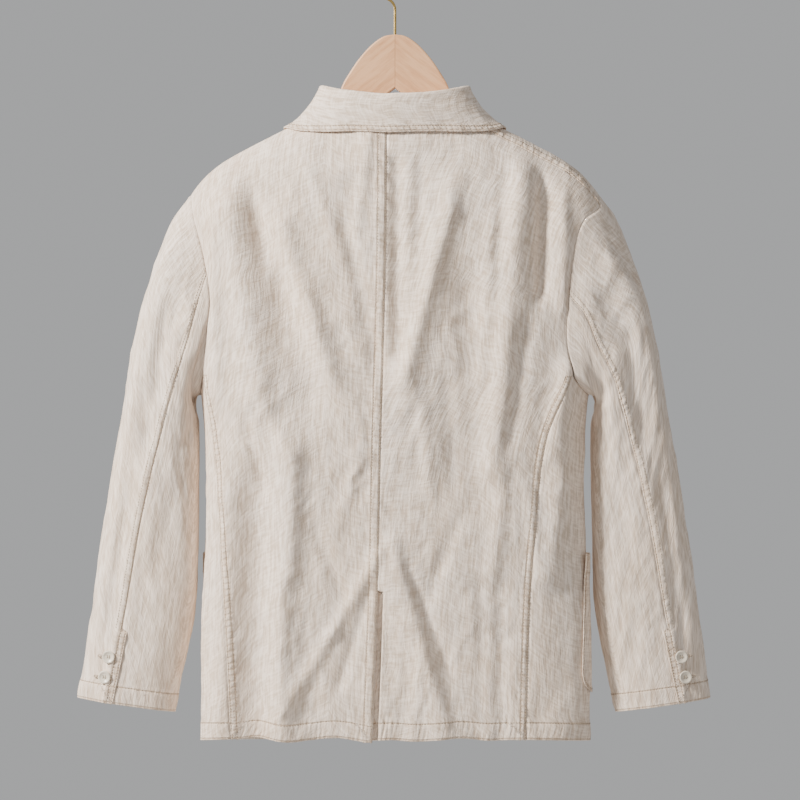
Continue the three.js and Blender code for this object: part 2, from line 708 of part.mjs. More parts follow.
function collarSection(h, cell, u, rise) {
  const neck = cell.p;
  const aside = Math.atan2(Math.abs(neck.x) * 0.45, Math.max(neck.y, 0));
  const out = vec(h.side * Math.sin(aside), Math.cos(aside), 0);
  if (neck.y <= 0) out.set(h.side, 0, 0);
  const lie = ease((u - 0.56) / 0.44);
  const up = vec(0, 0, 1).addScaledVector(out, 0.2 * ease(u / 0.5) * (1 - lie));
  up.lerp(vec(0, -1, 0), lie).normalize();
  const stand = through(COLLAR_STAND, u) + rise * (1 - lie);
  const roll = mix(COLLAR_ROLL, 2.4, lie);
  const foot = neck.clone().addScaledVector(up, 0.4).addScaledVector(out, -WALL);
  const eye = foot.clone().addScaledVector(up, Math.max(stand - roll, 0.6)).addScaledVector(out, roll);
  const points = [foot];
  points.push(foot.clone().lerp(eye.clone().addScaledVector(out, -roll), 0.55));
  for (const a of [180, 135, 90, 45, 0]) {
    points.push(eye.clone().addScaledVector(out, roll * Math.cos(a * rad))
      .addScaledVector(up, roll * Math.sin(a * rad)));
  }
  const edgeX = through(COLLAR_EDGE, u, 1);
  const edge = overShoulder(h.side * edgeX * (u === 0 ? h.side : 1), through(COLLAR_EDGE, u, 2));
  const end = edge.p.clone().addScaledVector(edge.n, mix(2.9, 3.8, ease((u - 0.5) / 0.3)));
  const fold = points[points.length - 1];
  const bow = edge.n.clone();
  for (const t of [0.3, 0.65, 1]) {
    const p = fold.clone().lerp(end, t).addScaledVector(bow, 5 * t * (1 - t));
    if (u > 0.99) {
      const notch = vec(h.side * 93, p.y, -243);
      const gorge = t < 0.9 ? fold.clone().lerp(notch, t / 0.65) : null;
      if (gorge) p.set(gorge.x, gorge.y, gorge.z);
    }
    points.push(above(p, mix(2.9, 3.8, ease((u - 0.5) / 0.3))));
  }
  return points;
}

function collarHalf(h, front, backGrid) {
  const cells = neckPoints(front, backGrid, h.left);
  const run = [0];
  for (let i = 1; i < cells.length; i += 1) run.push(run[i - 1] + cells[i].p.distanceTo(cells[i - 1].p));
  // Where the right shoulder seam lies behind the ridge, the stand is that much taller.
  const plain = (x) => mix(BACK_NECK_Z, NECK_Z, Math.min(1, (x / NECK_X) ** 2));
  return cells.map((cell, i) => {
    const rise = cell.p.y > 0 ? Math.max(0, plain(Math.abs(cell.p.x)) - cell.p.z) : 0;
    return collarSection(h, cell, run[i] / run[run.length - 1], rise);
  });
}

const collarLeft = collarHalf(left, frontLeft, backs.leftGrid);
const collarRight = collarHalf(right, frontRight, backs.rightGrid);
const collarPoints = [...collarLeft.slice(1).reverse(), collarLeft[0], ...collarRight.slice(1)];
group.add(sheet("collar", withNormals(collarPoints, -1), linen()));

// ---- lapels ----
// The lapel rolls out of the front's edge and lies on the front. Below the crossing
// the right one stops at the left front's edge.
const LAPEL_START_Z = -224.5;
const LAPEL_EDGE = [[0, 124, -264], [0.3, 113, -318], [0.65, 70, -392], [1, 0, -458]];
const LAPEL_ROWS = [0, 0.12, 0.27, 0.45, 0.63, 0.8, 0.92, 1];
const LAPEL_CLEAR = 8;

function lapel(h) {
  const endZ = h.left ? -461 : -436;
  const inner = (z) => (h.left ? h.frontMiddle(z)
    : Math.max(h.frontMiddle(z), LAPEL_CLEAR - left.frontMiddle(z)));
  const points = LAPEL_ROWS.map((v) => {
    const z0 = mix(LAPEL_START_Z, endZ, v);
    const x0 = inner(z0);
    const { p: neck, n } = onFace(h.side * x0, z0, -1);
    const out = vec(h.side, 0, 0);
    const line = [
      neck.clone().addScaledVector(out, -WALL - 0.6).addScaledVector(n, -WALL),
      neck.clone().addScaledVector(out, -WALL - 1.7).addScaledVector(n, 0.5),
      neck.clone().addScaledVector(out, -1).addScaledVector(n, 2.7),
    ];
    const ex = Math.max(through(LAPEL_EDGE, v, 1), x0 + 7);
    const ez = Math.min(mix(z0, through(LAPEL_EDGE, v, 2), 1 - ease((v - 0.6) / 0.4)), z0);
    for (const t of [0.12, 0.35, 0.6, 0.82, 1]) {
      const base = onFace(h.side * mix(x0, ex, t), mix(z0, ez, t), -1);
      line.push(base.p.clone().addScaledVector(base.n, 2.5));
    }
    return line;
  });
  group.add(sheet(`lapel_${h.left ? "left" : "right"}`, withNormals(points, -h.side), linen()));
}
lapel(left);
lapel(right);

// ---- patch pockets, made from the body's own surface moved out ----
function turnAlong(h, distance, z) {
  let turn = turnOf(h.side * h.centreBack(z), z, 1) * h.side;
  let before = onRing(h.side * turn, z).p;
  let gone = 0;
  while (turn < 200) {
    const next = onRing(h.side * (turn + 0.5), z).p;
    const step = Math.hypot(next.x - before.x, next.y - before.y);
    if (gone + step >= distance) return turn + 0.5 * (distance - gone) / step;
    gone += step;
    turn += 0.5;
    before = next;
  }
  return turn;
}

function pocket(h) {
  const across = [0, 4, 11, 24, 46, 68, 92, 118, 144, 157, 164, POCKET_WIDTH];
  const grid = [];
  const rows = [0, 0.06, 0.3, 0.6, 0.85, 1];
  for (const k of rows) {
    grid.push(across.map((e) => {
      const inset = Math.min(e, POCKET_WIDTH - e);
      const cut = inset >= POCKET_CORNER ? 0
        : POCKET_CORNER - Math.sqrt(POCKET_CORNER ** 2 - (POCKET_CORNER - inset) ** 2);
      const z = mix(POCKET_TOP_Z, POCKET_TOP_Z - POCKET_HEIGHT + cut, k);
      const cell = onRing(h.side * turnAlong(h, POCKET_FROM_BACK + e, z), z);
      const gape = 1.2 * (1 - ease(k / 0.3)) + 0.8 * Math.sin(Math.PI * e / POCKET_WIDTH);
      cell.p.addScaledVector(cell.n, LAP + 0.5 + gape);
      return cell;
    }));
  }
  group.add(sheet(`pocket_${h.left ? "left" : "right"}`, grid, linen()));
}
pocket(left);
pocket(right);

// ---- buttons ----
function button(name, radius, cell) {
  const profile = [
    [0, 0], [1.9, 0], [1.9, 1.1], [radius - 1.6, 1.1], [radius - 0.3, 1.9], [radius, 2.7],
    [radius - 0.5, 3.5], [radius - 1.4, 3.8], [radius - 2.5, 3.2], [0, 3],
  ].map(([r, y]) => new THREE.Vector2(r, y));
  const geometry = new THREE.LatheGeometry(profile, 20);
  const turn = new THREE.Quaternion().setFromUnitVectors(vec(0, 1, 0), cell.n.clone().normalize());
  geometry.applyQuaternion(turn);
  const seat = cell.p.clone().addScaledVector(cell.n, 0.35);
  geometry.translate(seat.x, seat.y, seat.z);
  const mesh = new THREE.Mesh(geometry, buttonHorn());
  mesh.name = name;
  group.add(mesh);
}

FRONT_BUTTON_Z.forEach((z, i) => button(`front_button_${i + 1}`, FRONT_BUTTON_R, onFace(CENTRE_FRONT, z, -1)));

// Cuff buttons sit on the top sleeve, beside the vent.
function cuffButtons(side, top) {
  const word = side > 0 ? "left" : "right";
  [[14, 0.64], [15, 0.25]].forEach(([row, k], i) => {
    const seam = top[row].length - 2;
    const a = top[row][seam];
    const b = top[row][seam - 1];
    const lowA = top[Math.min(row + 1, top.length - 1)][seam];
    const lowB = top[Math.min(row + 1, top.length - 1)][seam - 1];
    const share = 9 / a.p.distanceTo(b.p);
    const p = a.p.clone().lerp(b.p, share).lerp(lowA.p.clone().lerp(lowB.p, share), k);
    const n = a.n.clone().lerp(b.n, share).normalize();
    p.addScaledVector(n, 0.5);
    button(`cuff_button_${word}_${i + 1}`, CUFF_BUTTON_R, { p, n });
  });
}
cuffButtons(1, topLeft);
cuffButtons(-1, topRight);

// ---- hanger ----
function hangerWood() {
  const right0 = [[11, -76.6], [21.5, -82.5], [32, -92], [43, -105], [53, -120], [60, -132], [65, -146], [68, -160], [80, -175]];
  const shape = new THREE.Shape();
  shape.moveTo(0, HANGER_TOP_Z);
  const down = right0.map(([x, z]) => new THREE.Vector2(x, z));
  down.push(new THREE.Vector2(120, shoulderLine(120) - 8));
  down.push(new THREE.Vector2(175, shoulderLine(175) - 7));
  down.push(new THREE.Vector2(206, shoulderLine(206) - 9));
  down.push(new THREE.Vector2(219, -252));
  down.push(new THREE.Vector2(216, -264));
  down.push(new THREE.Vector2(204, -266));
  shape.splineThru(down);
  const back = [[150, -236], [90, -205], [45, -172], [0, -137]].map(([x, z]) => new THREE.Vector2(x, z));
  shape.splineThru(back.slice(0, 3));
  shape.lineTo(0, -137);
  const half0 = shape.getPoints(4);
  const whole = half0.concat(half0.slice(1, -1).reverse().map((p) => new THREE.Vector2(-p.x, p.y)));
  const outline = new THREE.Shape(whole);
  const bevel = 1.6;
  const geometry = new THREE.ExtrudeGeometry(outline, {
    depth: WOOD_THICKNESS - 2 * bevel, bevelEnabled: true, bevelThickness: bevel,
    bevelSize: bevel, bevelOffset: -bevel, bevelSegments: 2, steps: 1,
  });
  geometry.rotateX(Math.PI / 2);
  geometry.translate(0, WOOD_THICKNESS / 2 - bevel, 0);
  const mesh = new THREE.Mesh(geometry, beech());
  mesh.name = "hanger_wood";
  return mesh;
}
group.add(hangerWood());

function tube(name, points, radius, sides, material) {
  const places = [];
  const index = [];
  const yAxis = vec(0, 1, 0);
  points.forEach((p, i) => {
    const t = points[Math.min(i + 1, points.length - 1)].clone()
      .sub(points[Math.max(i - 1, 0)]).normalize();
    const side0 = t.clone().cross(yAxis).normalize();
    for (let k = 0; k < sides; k += 1) {
      const a = 2 * Math.PI * k / sides;
      const q = p.clone().addScaledVector(side0, radius * Math.cos(a))
        .addScaledVector(yAxis, radius * Math.sin(a));
      places.push(q.x, q.y, q.z);
    }
  });
  const rings = points.length;
  for (let i = 0; i + 1 < rings; i += 1) {
    for (let k = 0; k < sides; k += 1) {
      const a = i * sides + k;
      const b = i * sides + ((k + 1) % sides);
      index.push(a, a + sides, b, b, a + sides, b + sides);
    }
  }
  for (const [end, ring] of [[points[0], 0], [points[rings - 1], rings - 1]]) {
    const centre = places.length / 3;
    places.push(end.x, end.y, end.z);
    for (let k = 0; k < sides; k += 1) {
      const a = ring * sides + k;
      const b = ring * sides + ((k + 1) % sides);
      if (ring === 0) index.push(centre, a, b);
      else index.push(centre, b, a);
    }
  }
  return solid(name, places, index, material);
}

// The hook: a shank, a small bend aside, then round over the rail.
function hookLine() {
  const big = HOOK_INNER_R + HOOK_WIRE_R;
  const centreZ = -HOOK_INNER_R;
  const bendZ = -46;
  const reach = centreZ - bendZ;
  const small = (reach * reach - big * big) / (2 * big);
  const points = [vec(0, 0, HANGER_TOP_Z + 0.35), vec(0, 0, -62), vec(0, 0, bendZ - 4)];
  const meet = Math.atan2(reach, small);
  for (let i = 0; i <= 5; i += 1) {
    const a = meet * i / 5;
    points.push(vec(small - small * Math.cos(a), 0, bendZ + small * Math.sin(a)));
  }
  const from = -Math.PI / 2 + Math.atan2(small, reach);
  const to = Math.PI * 1.08;
  for (let i = 1; i <= 22; i += 1) {
    const a = from + (to - from) * i / 22;
    points.push(vec(big * Math.cos(a), 0, centreZ + big * Math.sin(a)));
  }
  return points;
}
group.add(tube("hanger_hook", hookLine(), HOOK_WIRE_R, 14, brass()));

export default group;
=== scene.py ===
"""Single-breasted linen blazer on a flat wooden hanger, built as cloth pieces."""
import math
import bmesh
import bpy
import numpy as np
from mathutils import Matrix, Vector


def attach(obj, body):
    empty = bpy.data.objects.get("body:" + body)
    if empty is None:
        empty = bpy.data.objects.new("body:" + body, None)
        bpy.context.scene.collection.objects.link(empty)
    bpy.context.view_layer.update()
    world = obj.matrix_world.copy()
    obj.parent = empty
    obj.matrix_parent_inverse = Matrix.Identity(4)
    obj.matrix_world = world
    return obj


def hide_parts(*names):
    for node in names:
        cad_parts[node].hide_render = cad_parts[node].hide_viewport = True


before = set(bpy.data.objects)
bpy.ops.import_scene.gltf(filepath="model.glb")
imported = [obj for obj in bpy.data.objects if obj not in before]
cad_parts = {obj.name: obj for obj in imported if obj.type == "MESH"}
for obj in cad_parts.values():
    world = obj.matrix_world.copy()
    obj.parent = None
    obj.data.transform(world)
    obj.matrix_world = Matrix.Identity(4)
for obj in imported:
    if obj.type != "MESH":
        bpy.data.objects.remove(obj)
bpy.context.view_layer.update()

bl_info = {
    "name": "Linen Blazer",
    "version": (1, 0, 0),
    "blender": (4, 5, 0),
    "location": "View3D > Sidebar > Blazer",
    "description": "Builds a linen blazer on a wooden hanger, piece by piece",
    "category": "Object",
}

# Millimetres. +Z is up, the back faces +Y, the wearer's left is +X.
MM = 0.001
WALL = 1.3
LAP = 2.2

# Body rings, soft squared ovals: [height, size]
HALF_WIDTH = [(-120, 262), (-264, 258), (-336, 240), (-417, 233), (-468, 227),
              (-510, 221), (-570, 218), (-650, 219), (-750, 223), (-900, 225)]
HALF_DEPTH = [(-120, 30), (-176, 37), (-264, 47), (-336, 52), (-480, 55), (-600, 52),
              (-750, 49), (-900, 47)]
SQUARE = 3
SHOULDER_DROP = 90
NECK_X, NECK_Z = 78, -160
TIP_X = 236
SHOULDER_SLOPE = 0.5
SHOULDER_TURN = 22
UNDERARM_Z, UNDERARM_DIP = -468, 22
BACK_HEM_Z, FRONT_HEM_Z = -886, -892
BACK_NECK_Z = -176

# Seams, as distances from the middle plane
CENTRE_BACK = [(-120, 9), (-320, 10), (-560, 16), (-715, 19.5), (-900, 26.5)]
ARMHOLE_BACK_LEFT = [(-120, 236), (-262, 236), (-336, 218.5), (-382, 211), (-420, 216), (-468, 221)]
ARMHOLE_BACK_RIGHT = [(-120, 236), (-262, 232), (-302, 212), (-348, 202), (-417, 197), (-468, 201)]
SIDE_SEAM_LEFT = [(-468, 221), (-531, 211), (-612, 201), (-681, 197), (-773, 192), (-900, 187)]
SIDE_SEAM_RIGHT = [(-468, 201), (-543, 173), (-635, 162), (-727, 155), (-900, 150)]
ARMHOLE_FRONT = [(-120, 236), (-262, 234), (-302, 214), (-350, 203), (-417, 199), (-468, 208)]
RIGHT_SHOULDER_SEAM_DROP = 13

VENT_TOP_Z = -715
VENT_LAP = 34
VENT_DEPTH = 2.6

CENTRE_FRONT = -4
FRONT_OVERLAP = 20
BREAK_Z = -468

POCKET_TOP_Z = -674
POCKET_HEIGHT = 160
POCKET_CORNER = 24
POCKET_WIDTH = 168
POCKET_FROM_BACK = 240

# Sleeve edges from the shoulder (0) to the cuff (1): [share, x, z]
SLEEVE_OUTER = [(0, 236, -261), (0.08, 255, -286), (0.2, 275, -332), (0.34, 294, -393),
                (0.5, 311, -480), (0.7, 332, -610), (0.85, 349, -725), (1, 366, -841)]
SLEEVE_INNER = [(0, 225, -490), (0.12, 230, -497), (0.34, 228.5, -512), (0.5, 227, -545),
                (0.7, 227.5, -640), (0.85, 232.5, -745), (1, 256, -857)]
SLEEVE_HALF_DEPTH = [(0, 37), (0.2, 42), (0.45, 41), (0.7, 34), (0.9, 28), (1, 27)]
SLEEVE_FORWARD = [(0, 0), (0.3, 5), (0.6, 10), (1, 10)]
ELBOW_SEAM = [(0.1, 88), (0.2, 99), (0.3, 106), (0.4, 103), (0.5, 96), (0.65, 85), (0.8, 76), (1, 71)]
CUFF_VENT_START = 0.885
UNDERARM_EASE = 7

FRONT_BUTTON_R = 10
CUFF_BUTTON_R = 7.5

COLLAR_STAND = [(0, 31), (0.45, 27), (0.62, 24), (0.8, 12), (1, 5)]
COLLAR_ROLL = 3.4
COLLAR_EDGE = [(0, 9, 8.1), (0.25, 50, 6.6), (0.42, 84, 5.2), (0.55, 112, 3.4), (0.64, 125, 1.2),
               (0.72, 127, -2), (0.85, 122, -4.8), (1, 108, -6.9)]
LAPEL_EDGE = [(0, 124, -264), (0.3, 113, -318), (0.65, 70, -392), (1, 0, -458)]

# Folds: from x, z to x, z, then half-width and height (below zero for a trough)
BACK_FOLDS = [
    (192, -270, 158, -480, 20, 5), (150, -290, 100, -480, 22, -6), (128, -300, 72, -470, 14, 4),
    (190, -610, 196, -860, 16, 5), (158, -600, 160, -880, 20, -6), (124, -560, 128, -870, 18, 5),
    (-62, -270, -14, -480, 16, 4), (-2, -230, -4, -440, 9, -4), (-90, -380, -92, -600, 22, -4),
    (-146, -230, -112, -570, 15, 5), (-172, -240, -168, -370, 10, -4),
    (-196, -470, -178, -690, 14, 4), (4, -700, -52, -880, 15, 4), (-96, -720, -90, -890, 12, -3),
]
FRONT_FOLDS = [
    (150, -300, 120, -620, 22, 5), (100, -420, 84, -640, 20, -4), (-150, -300, -124, -620, 22, 5),
    (-96, -430, -84, -660, 20, -4), (186, -400, 176, -640, 14, -3), (-186, -400, -178, -640, 14, -3),
    (60, -760, 66, -890, 16, 4), (-58, -740, -66, -890, 16, -3),
]
BACK_CREASES = [
    (209, -262, 205, -490, 9, 2.2), (144, -283, 78, -459, 12, 2.4), (55, -300, 22, -450, 9, -2.4),
    (96, -236, 62, -330, 9, 1.8), (30, -205, 44, -300, 8, 1.6), (168, -250, 150, -330, 9, -2.2),
    (112, -560, 119, -690, 10, 2.4), (131, -705, 133, -860, 10, 2.6), (20, -676, 70, -760, 8, 2.2),
    (70, -762, 125, -850, 8, 2.4), (30, -720, 62, -820, 7, -2.0), (88, -650, 60, -720, 8, -1.8),
    (40, -560, 66, -640, 9, 1.6), (150, -500, 120, -560, 8, 1.8), (172, -520, 150, -600, 7, -1.8),
    (-62, -285, -10, -470, 9, 2.4), (-30, -230, -26, -330, 8, -1.6), (-112, -300, -98, -470, 9, 2.0),
    (-128, -240, -116, -330, 8, -1.8), (-168, -236, -168, -366, 8, -2.4),
    (-194, -254, -192, -389, 8, 2.4),
    (-150, -420, -130, -540, 9, -2.2), (-60, -480, -66, -590, 10, -2.4), (-30, -500, -40, -600, 9, 1.8),
    (-124, -585, -112, -690, 9, 2.0), (-70, -640, -40, -720, 9, -1.8), (0, -664, -56, -858, 9, 3.0),
    (-14, -690, -60, -800, 7, -2.4), (-90, -730, -90, -880, 9, 2.4), (-120, -720, -122, -880, 10, -2.6),
    (-196, -462, -176, -560, 8, 2.2), (-150, -600, -166, -700, 8, 1.8), (-30, -790, -20, -880, 8, 2.0),
]
FRONT_CREASES = [
    (128, -330, 96, -470, 10, 2.2), (-128, -330, -96, -470, 10, 2.2), (70, -500, 60, -620, 9, -2.0),
    (-70, -520, -56, -640, 9, -2.0), (150, -560, 160, -640, 8, 1.8), (-150, -560, -160, -640, 8, 1.8),
    (30, -540, 64, -600, 7, 1.8), (-34, -500, -70, -560, 7, 1.8), (110, -850, 112, -880, 8, 1.6),
    (-40, -820, -44, -890, 8, 1.8), (40, -620, 30, -700, 7, 1.6), (-30, -720, -60, -800, 8, 1.8),
    (180, -470, 140, -540, 8, 2.0), (-180, -470, -140, -540, 8, 2.0),
]
# Sleeve folds: from angle, share to angle, share, then half-width in degrees and height
SLEEVE_FOLDS = [
    (40, 0.1, 48, 0.6, 16, 3), (72, 0.14, 76, 0.6, 18, -6), (110, 0.42, 66, 0.56, 12, 2),
    (320, 0.15, 310, 0.7, 18, 3), (285, 0.2, 280, 0.6, 16, -3),
    (30, 0.05, 34, 0.3, 8, 2.4), (58, 0.3, 70, 0.5, 8, 2.2), (92, 0.5, 70, 0.72, 9, 2.0),
    (120, 0.62, 96, 0.8, 10, -2.0), (60, 0.68, 52, 0.92, 8, -2.0), (100, 0.16, 80, 0.34, 9, -2.2),
    (140, 0.36, 112, 0.46, 9, 2.4), (150, 0.45, 120, 0.56, 9, -2.2), (40, 0.55, 44, 0.8, 8, 1.8),
    (210, 0.4, 240, 0.52, 9, 2.2), (230, 0.55, 250, 0.68, 9, -2.0), (300, 0.72, 290, 0.92, 9, 2.0),
]

SEAM_PAINTED_SHADE = (0.8, 0.73, 0.66)  # painted shade: what a seam's deepest groove and its pucker rungs multiply the cloth's colour by
SEAM_RELIEF = 0.3
HEM_WAVE = 5.0
FOLD_SCALE = 1.45
GROOVE_INSET, GROOVE_HALF = 1.6, 0.75
RUNG_STEP, RUNG_LEAN = 7.0, 0.25
SEAM_MARKS = ("seam_distance", "seam_place", "seam_width")
NO_SEAM = 99.0

# Widths of seam strips, stitched edges and hems
CENTRE_STRIP, SIDE_STRIP, SHOULDER_STRIP = 12, 9, 10
HEM_WIDTH, CUFF_WIDTH = 21, 22
EDGE_STRIP, COLLAR_STRIP, POCKET_STRIP = 7, 8, 5

# The studio, in metres: name, place, watts, size and colour of each light
LIGHTS = [
    ("key", (2.3, 1.35, 0.95), 250, 0.5, (1.0, 0.965, 0.92)),
    ("fill", (-1.2, 2.8, -0.2), 8, 1.6, (0.96, 0.98, 1.0)),
    ("front", (0.6, -2.6, 0.4), 34, 1.6, (1.0, 0.985, 0.96)),
]
LIGHT_TARGET = (0, 0, -0.5)
SURROUNDINGS = (0.43, 0.435, 0.44, 1)
FLOOR_RADIUS, FLOOR_Z = 1.0, -1.35
CAMERA_DISTANCE, VIEW_WIDTH, SENSOR = 4.5, 0.92, 36
CAMERA_X, CAMERA_Z, BACK_Y = -0.00575, -0.497, 0.022

CLOTH = {}  # each finished cloth grid, for the stitches on it


# ---- small sums ----
def mix(a, b, k):
    """The value a share k of the way from a to b."""
    return a + (b - a) * k


def ease(k):
    """A smooth step from 0 to 1."""
    c = np.clip(k, 0, 1)
    return c * c * (3 - 2 * c)


def through(knots, place, column=1):
    """A smooth line through knots at each place."""
    k = np.array(knots, dtype=float)
    if k[-1, 0] < k[0, 0]:
        k = k[::-1]
    xs, ys = k[:, 0], k[:, column]
    low = np.maximum(np.arange(len(xs)) - 1, 0)
    high = np.minimum(np.arange(len(xs)) + 1, len(xs) - 1)
    slope = (ys[high] - ys[low]) / (xs[high] - xs[low])
    p = np.clip(np.asarray(place, dtype=float), xs[0], xs[-1])
    i = np.clip(np.searchsorted(xs, p, side="right") - 1, 0, len(xs) - 2)
    h = xs[i + 1] - xs[i]
    t = (p - xs[i]) / h
    return ((2 * t ** 3 - 3 * t ** 2 + 1) * ys[i] + (t ** 3 - 2 * t ** 2 + t) * h * slope[i]
            + (3 * t ** 2 - 2 * t ** 3) * ys[i + 1] + (t ** 3 - t ** 2) * h * slope[i + 1])


def hashed_noise(x, y, seed):
    """Smooth noise from -1 to 1 with cells of size 1; the same for the same seed."""
    angles = np.random.RandomState(seed).rand(64, 64) * 2 * np.pi
    x, y = np.nan_to_num(x), np.nan_to_num(y)
    xi, yi = np.floor(x).astype(int), np.floor(y).astype(int)
    xf, yf = x - xi, y - yi

    def corner(dx, dy):
        a = angles[(xi + dx) % 64, (yi + dy) % 64]
        return np.cos(a) * (xf - dx) + np.sin(a) * (yf - dy)

    u, v = ease(xf), ease(yf)
    return 1.5 * mix(mix(corner(0, 0), corner(1, 0), u), mix(corner(0, 1), corner(1, 1), u), v)


def crumple(u, v, seed):
    """Small soft wrinkles of washed linen, longer up and down than across, in mm."""
    warp = 12 * hashed_noise(u / 50, v / 70, seed + 1)
    bend = 18 * hashed_noise(u / 60, v / 50, seed + 2)
    big = hashed_noise((u + warp) / 34, (v + bend) / 78, seed)
    ridge = 1 - np.abs(hashed_noise((u + bend) / 30, (v + warp) / 46, seed + 3)) * 2.4
    crease = 1 - np.abs(hashed_noise((u - bend) / 17 + v / 60, (v - warp) / 28, seed + 6)) * 2.6
    fine = hashed_noise((u + warp) / 9, v / 15, seed + 4)
    patch = ease(hashed_noise(u / 80, v / 95, seed + 5) + 0.6)
    other = ease(hashed_noise(u / 70, v / 80, seed + 8) + 0.35)
    return 1.5 * big + 0.95 * ridge * patch + 0.5 * crease * other + 0.24 * fine


# ---- the body's surface ----
def shoulder_line(x):
    """How high the shoulder is at a distance from the middle."""
    out = np.abs(x) - NECK_X
    turn = np.where(out > 0, SHOULDER_TURN * (np.maximum(out, 0) / (TIP_X - NECK_X)) ** 8, 0)
    return NECK_Z - SHOULDER_SLOPE * out - turn


def fullness(x, z):
    drop = np.clip((shoulder_line(x) - z) / SHOULDER_DROP, 0, 1)
    return np.sqrt(1 - (1 - drop) ** 2)


def fold_height(folds, x, z):
    total = np.zeros(np.broadcast(x, z).shape)
    for x0, z0, x1, z1, width, height in folds:
        length = math.hypot(x1 - x0, z1 - z0)
        dx, dz = (x1 - x0) / length, (z1 - z0) / length
        along = (x - x0) * dx + (z - z0) * dz
        across = (x - x0) * dz - (z - z0) * dx
        beyond = np.maximum(0, np.maximum(-along, along - length))
        total = total + height * np.exp(-(across / width) ** 2 - (beyond / (1.6 * width)) ** 2)
    return total


def on_face(x, z, face):
    """Undraped points of the back (face 1) or front (face -1)."""
    x, z = np.broadcast_arrays(np.asarray(x, float), np.asarray(z, float))
    a = through(HALF_WIDTH, z)
    b = through(HALF_DEPTH, z) * fullness(x, z)
    y = face * b * np.maximum(0, 1 - (np.abs(x) / a) ** SQUARE) ** (1 / SQUARE)
    return np.stack([x, y, z], -1)


def on_ring(turn, z):
    """The point of the body at a turn and a height."""
    turn, z = np.broadcast_arrays(np.asarray(turn, float), np.asarray(z, float))
    a = through(HALF_WIDTH, z)
    s, c = np.sin(np.radians(turn)), np.cos(np.radians(turn))
    x = a * np.sign(s) * np.abs(s) ** (2 / SQUARE)
    b = through(HALF_DEPTH, z) * fullness(x, z)
    return np.stack([x, b * np.sign(c) * np.abs(c) ** (2 / SQUARE), z], -1)


def turn_of(x, z, face):
    """The turn at which the body is met at a distance from the middle."""
    t = np.degrees(np.arcsin(np.minimum(1, (np.abs(x) / through(HALF_WIDTH, z)) ** (SQUARE / 2))))
    return np.where(np.asarray(face) > 0, t, 180 - t)


def normals_of(points, outward, mask=None):
    """Unit normals of a grid of points, turned to agree with the outward guess."""
    face = np.cross(points[1:, 1:] - points[:-1, :-1], points[1:, :-1] - points[:-1, 1:])
    if mask is not None:
        whole = mask[1:, 1:] & mask[:-1, :-1] & mask[1:, :-1] & mask[:-1, 1:]
        face = face * whole[..., None]
    n = np.zeros_like(points)
    n[:-1, :-1] += face
    n[:-1, 1:] += face
    n[1:, :-1] += face
    n[1:, 1:] += face
    n /= np.maximum(np.linalg.norm(n, axis=-1, keepdims=True), 1e-9)
    return -n if np.sum(n * outward) < 0 else n


def drape(points, outward, lift, mask=None):
    """Move a grid out along its normals by lift and give the new points and normals."""
    n = normals_of(points, outward, mask)
    moved = points + n * lift[..., None]
    return moved, normals_of(moved, outward, mask)


def body_folds(points):
    """How far the body's cloth is lifted by its folds."""
    x, y, z = points[..., 0], points[..., 1], points[..., 2]
    ridge = ease((shoulder_line(x) - z - 6) / 60)
    back = FOLD_SCALE * fold_height(BACK_FOLDS + BACK_CREASES, x, z)
    front = fold_height(FRONT_FOLDS + FRONT_CREASES, x, z)
    flat = ease(np.abs(y) / 18)
    return np.where(y > 0, back, front) * ridge * flat


def outward_of(points):
    """Which way is out of the body at each point."""
    guess = points * np.array([0.12, 1.0, 0.0])
    guess[..., 2] = 0.05 * np.abs(points[..., 1]) + 0.001
    return guess / np.maximum(np.linalg.norm(guess, axis=-1, keepdims=True), 1e-9)


# ---- meshes ----
def new_object(name, verts, faces, uvs=None, material=None):
    """A mesh object in metres from millimetre points, with one UV map in metres."""
    mesh = bpy.data.meshes.new(name)
    mesh.from_pydata(np.asarray(verts) * MM, [], [tuple(f) for f in faces])
    if uvs is not None:
        layer = mesh.uv_layers.new(name="cloth")
        index = np.empty(len(mesh.loops), dtype=np.int32)
        mesh.loops.foreach_get("vertex_index", index)
        layer.data.foreach_set("uv", (np.asarray(uvs)[index] * MM).astype(np.float32).ravel())
    mesh.polygons.foreach_set("use_smooth", np.ones(len(mesh.polygons), dtype=bool))
    mesh.update()
    obj = bpy.data.objects.new(name, mesh)
    bpy.context.scene.collection.objects.link(obj)
    if material:
        obj.data.materials.append(material)
    return obj


def arc_map(points, from_last=False):
    """Distances along the cloth in mm, across and down, for the weave to follow."""
    row = np.linalg.norm(np.diff(points, axis=1), axis=-1)
    row = np.where(np.isfinite(row), row, 0)
    across = np.concatenate([np.zeros((len(points), 1)), np.cumsum(row, 1)], 1)
    col = np.linalg.norm(np.diff(points, axis=0), axis=-1)
    col = np.where(np.isfinite(col), col, 0)
    down = np.concatenate([np.zeros((1, points.shape[1])), np.cumsum(col, 0)], 0)
    return (across - across[:, -1:] if from_last else across), down


